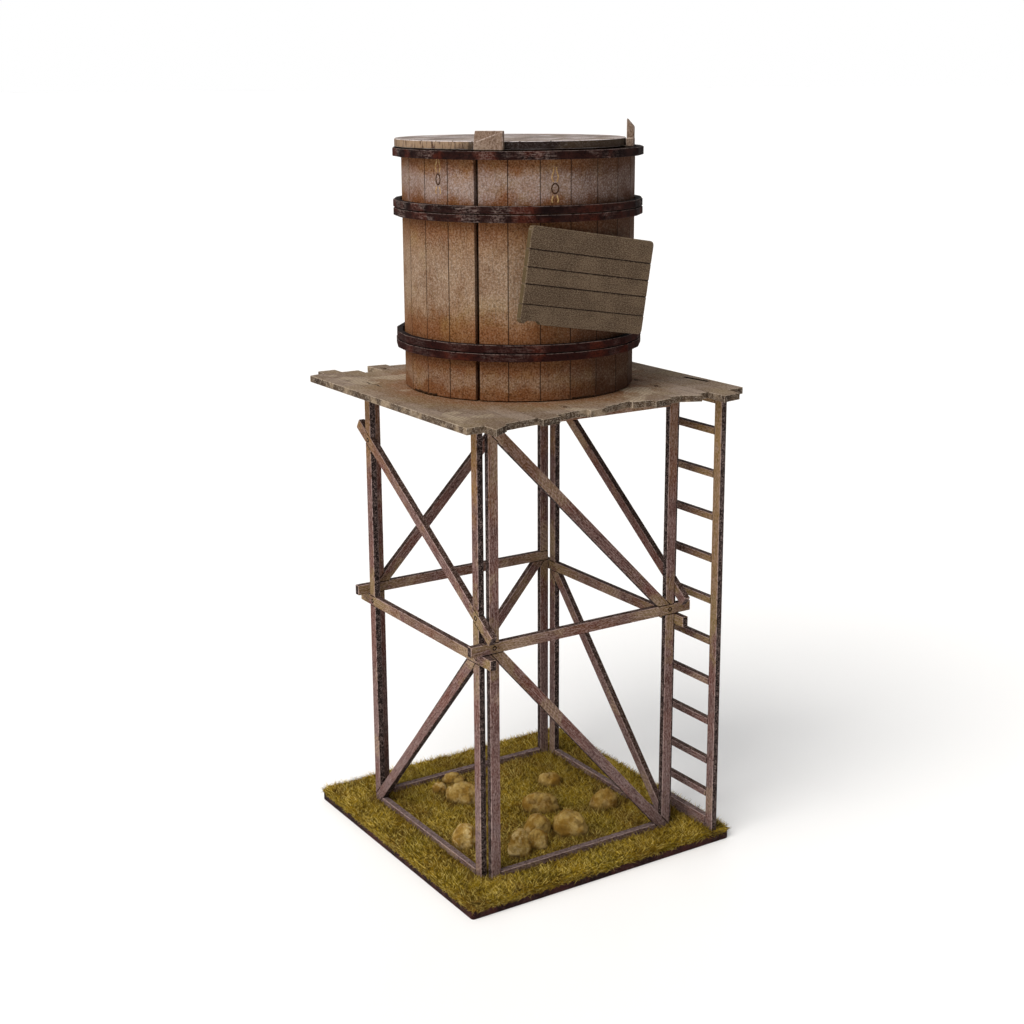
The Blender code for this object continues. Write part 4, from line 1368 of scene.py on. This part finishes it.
def make_materials():
    """Every finish, by name."""
    return {
        "frame": painted_wood(
            "frame_paint", ((0.084, 0.037, 0.031), (0.150, 0.079, 0.068)), (0.022, 0.010, 0.008),
            (0.40, 0.290, 0.265), (0.013, 0.008, 0.007), (0.150, 0.110, 0.106), brush=0.50, grit=0.62,
            specks=0.62, flecks=0.12, stroke=(0.22, 2.4, 1), pores=(1.1, 2.9, 1), stain=timber_stain_light_and_shade,
            sawn=timber_sawn),
        "deck": painted_wood(
            "deck_paint", ((0.165, 0.112, 0.076), (0.27, 0.205, 0.160)), (0.060, 0.036, 0.022),
            (0.46, 0.38, 0.30), (0.060, 0.038, 0.024), brush=0.42, specks=0.62, flecks=0.12, groove=0.45,
            height=0.25, stain=deck_stain_and_glints, sawn=deck_ends),
        "tank": painted_wood(
            "tank_paint", ((0.165, 0.068, 0.022), (0.235, 0.115, 0.045)), (0.055, 0.021, 0.008),
            (0.37, 0.30, 0.235), (0.040, 0.018, 0.010), brush=0.45, grit=0.8, flecks=0.50, veil=0.30,
            stroke=(0.8, 2.2, 1), joint=0.78, height=0.6, stain=tank_stain_and_shade, grey=tank_grey, bloom=tank_bloom),
        "lid": painted_wood(
            "lid_paint", ((0.120, 0.082, 0.060), (0.22, 0.168, 0.138)), (0.030, 0.018, 0.012),
            (0.74, 0.67, 0.67), (0.060, 0.040, 0.026), brush=0.55, specks=0.10, veil=0.38, stain=lid_stain,
            grey=lid_grey, sawn=lid_rim),
        "tab": painted_wood(
            "tab_paint", ((0.155, 0.098, 0.066), (0.225, 0.160, 0.118)), (0.060, 0.034, 0.022),
            (0.42, 0.33, 0.28), (0.06, 0.034, 0.02), brush=0.35, height=0.3),
        "hoop": painted_wood(
            "hoop_paint", ((0.007, 0.003, 0.003), (0.026, 0.009, 0.007)), (0.003, 0.002, 0.002),
            (0.23, 0.175, 0.155), (0.008, 0.004, 0.004), brush=0.30, specks=0.2, grit=0.7,
            stroke=(0.35, 2.0, 1), edge=0.5, stain=hoop_stain, grey=hoop_dry_paint_and_light),
        "sign": painted_wood(
            "sign_paint", ((0.086, 0.055, 0.036), (0.135, 0.090, 0.058)), (0.036, 0.021, 0.013),
            (0.31, 0.24, 0.16), (0.095, 0.066, 0.034), brush=0.36, groove=0.3, specks=0.1, grit=0.7,
            flecks=0.26, pores=(2.6, 4.2, 1), stroke=(1.3, 3.2, 1), height=0.6, edge=0.3),
        "bolt": speckled("bolt_iron", 0.55, 0.75, ((0.012, 0.006, 0.004), (0.05, 0.028, 0.018)), 0.7),
        "burnt": speckled("burnt_line", 0.4, 0.7, ((0.022, 0.010, 0.005), (0.060, 0.026, 0.010)), 0.8),
        "bare": speckled("bare_wood", 0.4, 0.6, ((0.42, 0.28, 0.13), (0.26, 0.14, 0.055)), 0.8),
        "edge": base_edge(),
        "earth": earth(),
        "grass": static_grass(),
        "stone": stone_paint(),
    }


# ---------------------------------------------------------------- stage


def sun_light(name, azimuth, elevation, spread, power, colour):
    """A soft light from far away."""
    data = bpy.data.lights.new(name, "SUN")
    data.angle = math.radians(spread)
    data.energy = power
    data.color = colour
    around, up = math.radians(azimuth), math.radians(elevation)
    from_there = Vector((math.sin(around) * math.cos(up), -math.cos(around) * math.cos(up), math.sin(up)))
    link(name, data).rotation_euler = from_there.to_track_quat("Z", "Y").to_euler()


def set_floor():
    """The plain pale floor."""
    mesh = bpy.data.meshes.new("floor")
    corners = rectangle(-FLOOR_HALF, FLOOR_HALF, -FLOOR_HALF, FLOOR_HALF)
    mesh.from_pydata([(x, y, 0) for x, y in corners], [], [(0, 1, 2, 3)])
    s = Shader("floor_white")
    mesh.materials.append(s.finish(s.mix(s.noise(0.01), (0.86, 0.86, 0.86), (0.88, 0.88, 0.88)), 0.9))
    s.feed(s.bsdf, {"Emission Color": (1.0, 1.0, 1.0), "Emission Strength": FLOOR_GLOW})
    link("floor", mesh)


def set_studio():
    """White light from all round, less from above and from the dark wall, and two soft lamps."""
    world = bpy.data.worlds.new("studio")
    world.use_nodes = True
    sky = Nodes(world.node_tree)
    heading = Value(sky, sky.node("ShaderNodeTexCoord").outputs["Generated"])
    up = sky.split(heading)[2]
    wall = sky.ramp(up, 0.06, 0.16, 1.0, DIM)
    dim = sky.ramp(sky.vector("DOT_PRODUCT", heading, RIGHTWARD), 0.2, 0.85, 1.0, wall)
    light = sky.ramp(up, 0.06, 0.40, 1.0, SKY) * dim
    sky.feed(sky.tree.nodes["Background"], {"Strength": light, "Color": (1.0, 1.0, 1.0)})
    bpy.context.scene.world = world
    for name, numbers in LIGHTS.items():
        sun_light(name, *numbers)


def set_camera():
    """The photograph's camera."""
    turn, down, roll = (math.radians(value) for value in (CAMERA_TURN, CAMERA_DOWN, CAMERA_ROLL))
    ahead = Vector((math.sin(turn) * math.cos(down), math.cos(turn) * math.cos(down), -math.sin(down)))
    right = Vector((math.cos(turn), -math.sin(turn), 0))
    up = right.cross(ahead)
    rolled_right = math.cos(roll) * right + math.sin(roll) * up
    rolled_up = math.cos(roll) * up - math.sin(roll) * right
    data = bpy.data.cameras.new("photo_view")
    data.lens = CAMERA_LENS
    data.sensor_width = 36.0
    data.clip_start = 0.01
    camera = link("photo_view", data)
    place = Matrix((rolled_right, rolled_up, -ahead)).transposed().to_4x4()
    place.translation = Vector(CAMERA_PLACE) * MM
    camera.matrix_world = place
    bpy.context.scene.camera = camera
    bpy.context.scene.view_settings.view_transform = "Standard"


noise.seed_set(SEED)  # noise_vector has an offset that is otherwise drawn anew each run
finishes = make_materials()
build_frames(finishes["frame"], finishes["bolt"])
build_ladder(finishes["frame"])
build_deck(finishes["deck"])
build_tank(finishes["tank"])
build_marks(finishes["burnt"], finishes["bare"])
build_hoops(finishes["hoop"])
build_lid(finishes["lid"])
build_tabs(finishes["tab"])
build_sign(finishes["sign"])
build_base(finishes["edge"])
build_mat(finishes["earth"])
grow_grass(finishes["grass"])
build_stones(finishes["stone"])
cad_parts["tank_floor"].data.materials.clear()
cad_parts["tank_floor"].data.materials.append(finishes["tank"])
set_floor()
set_studio()
set_camera()
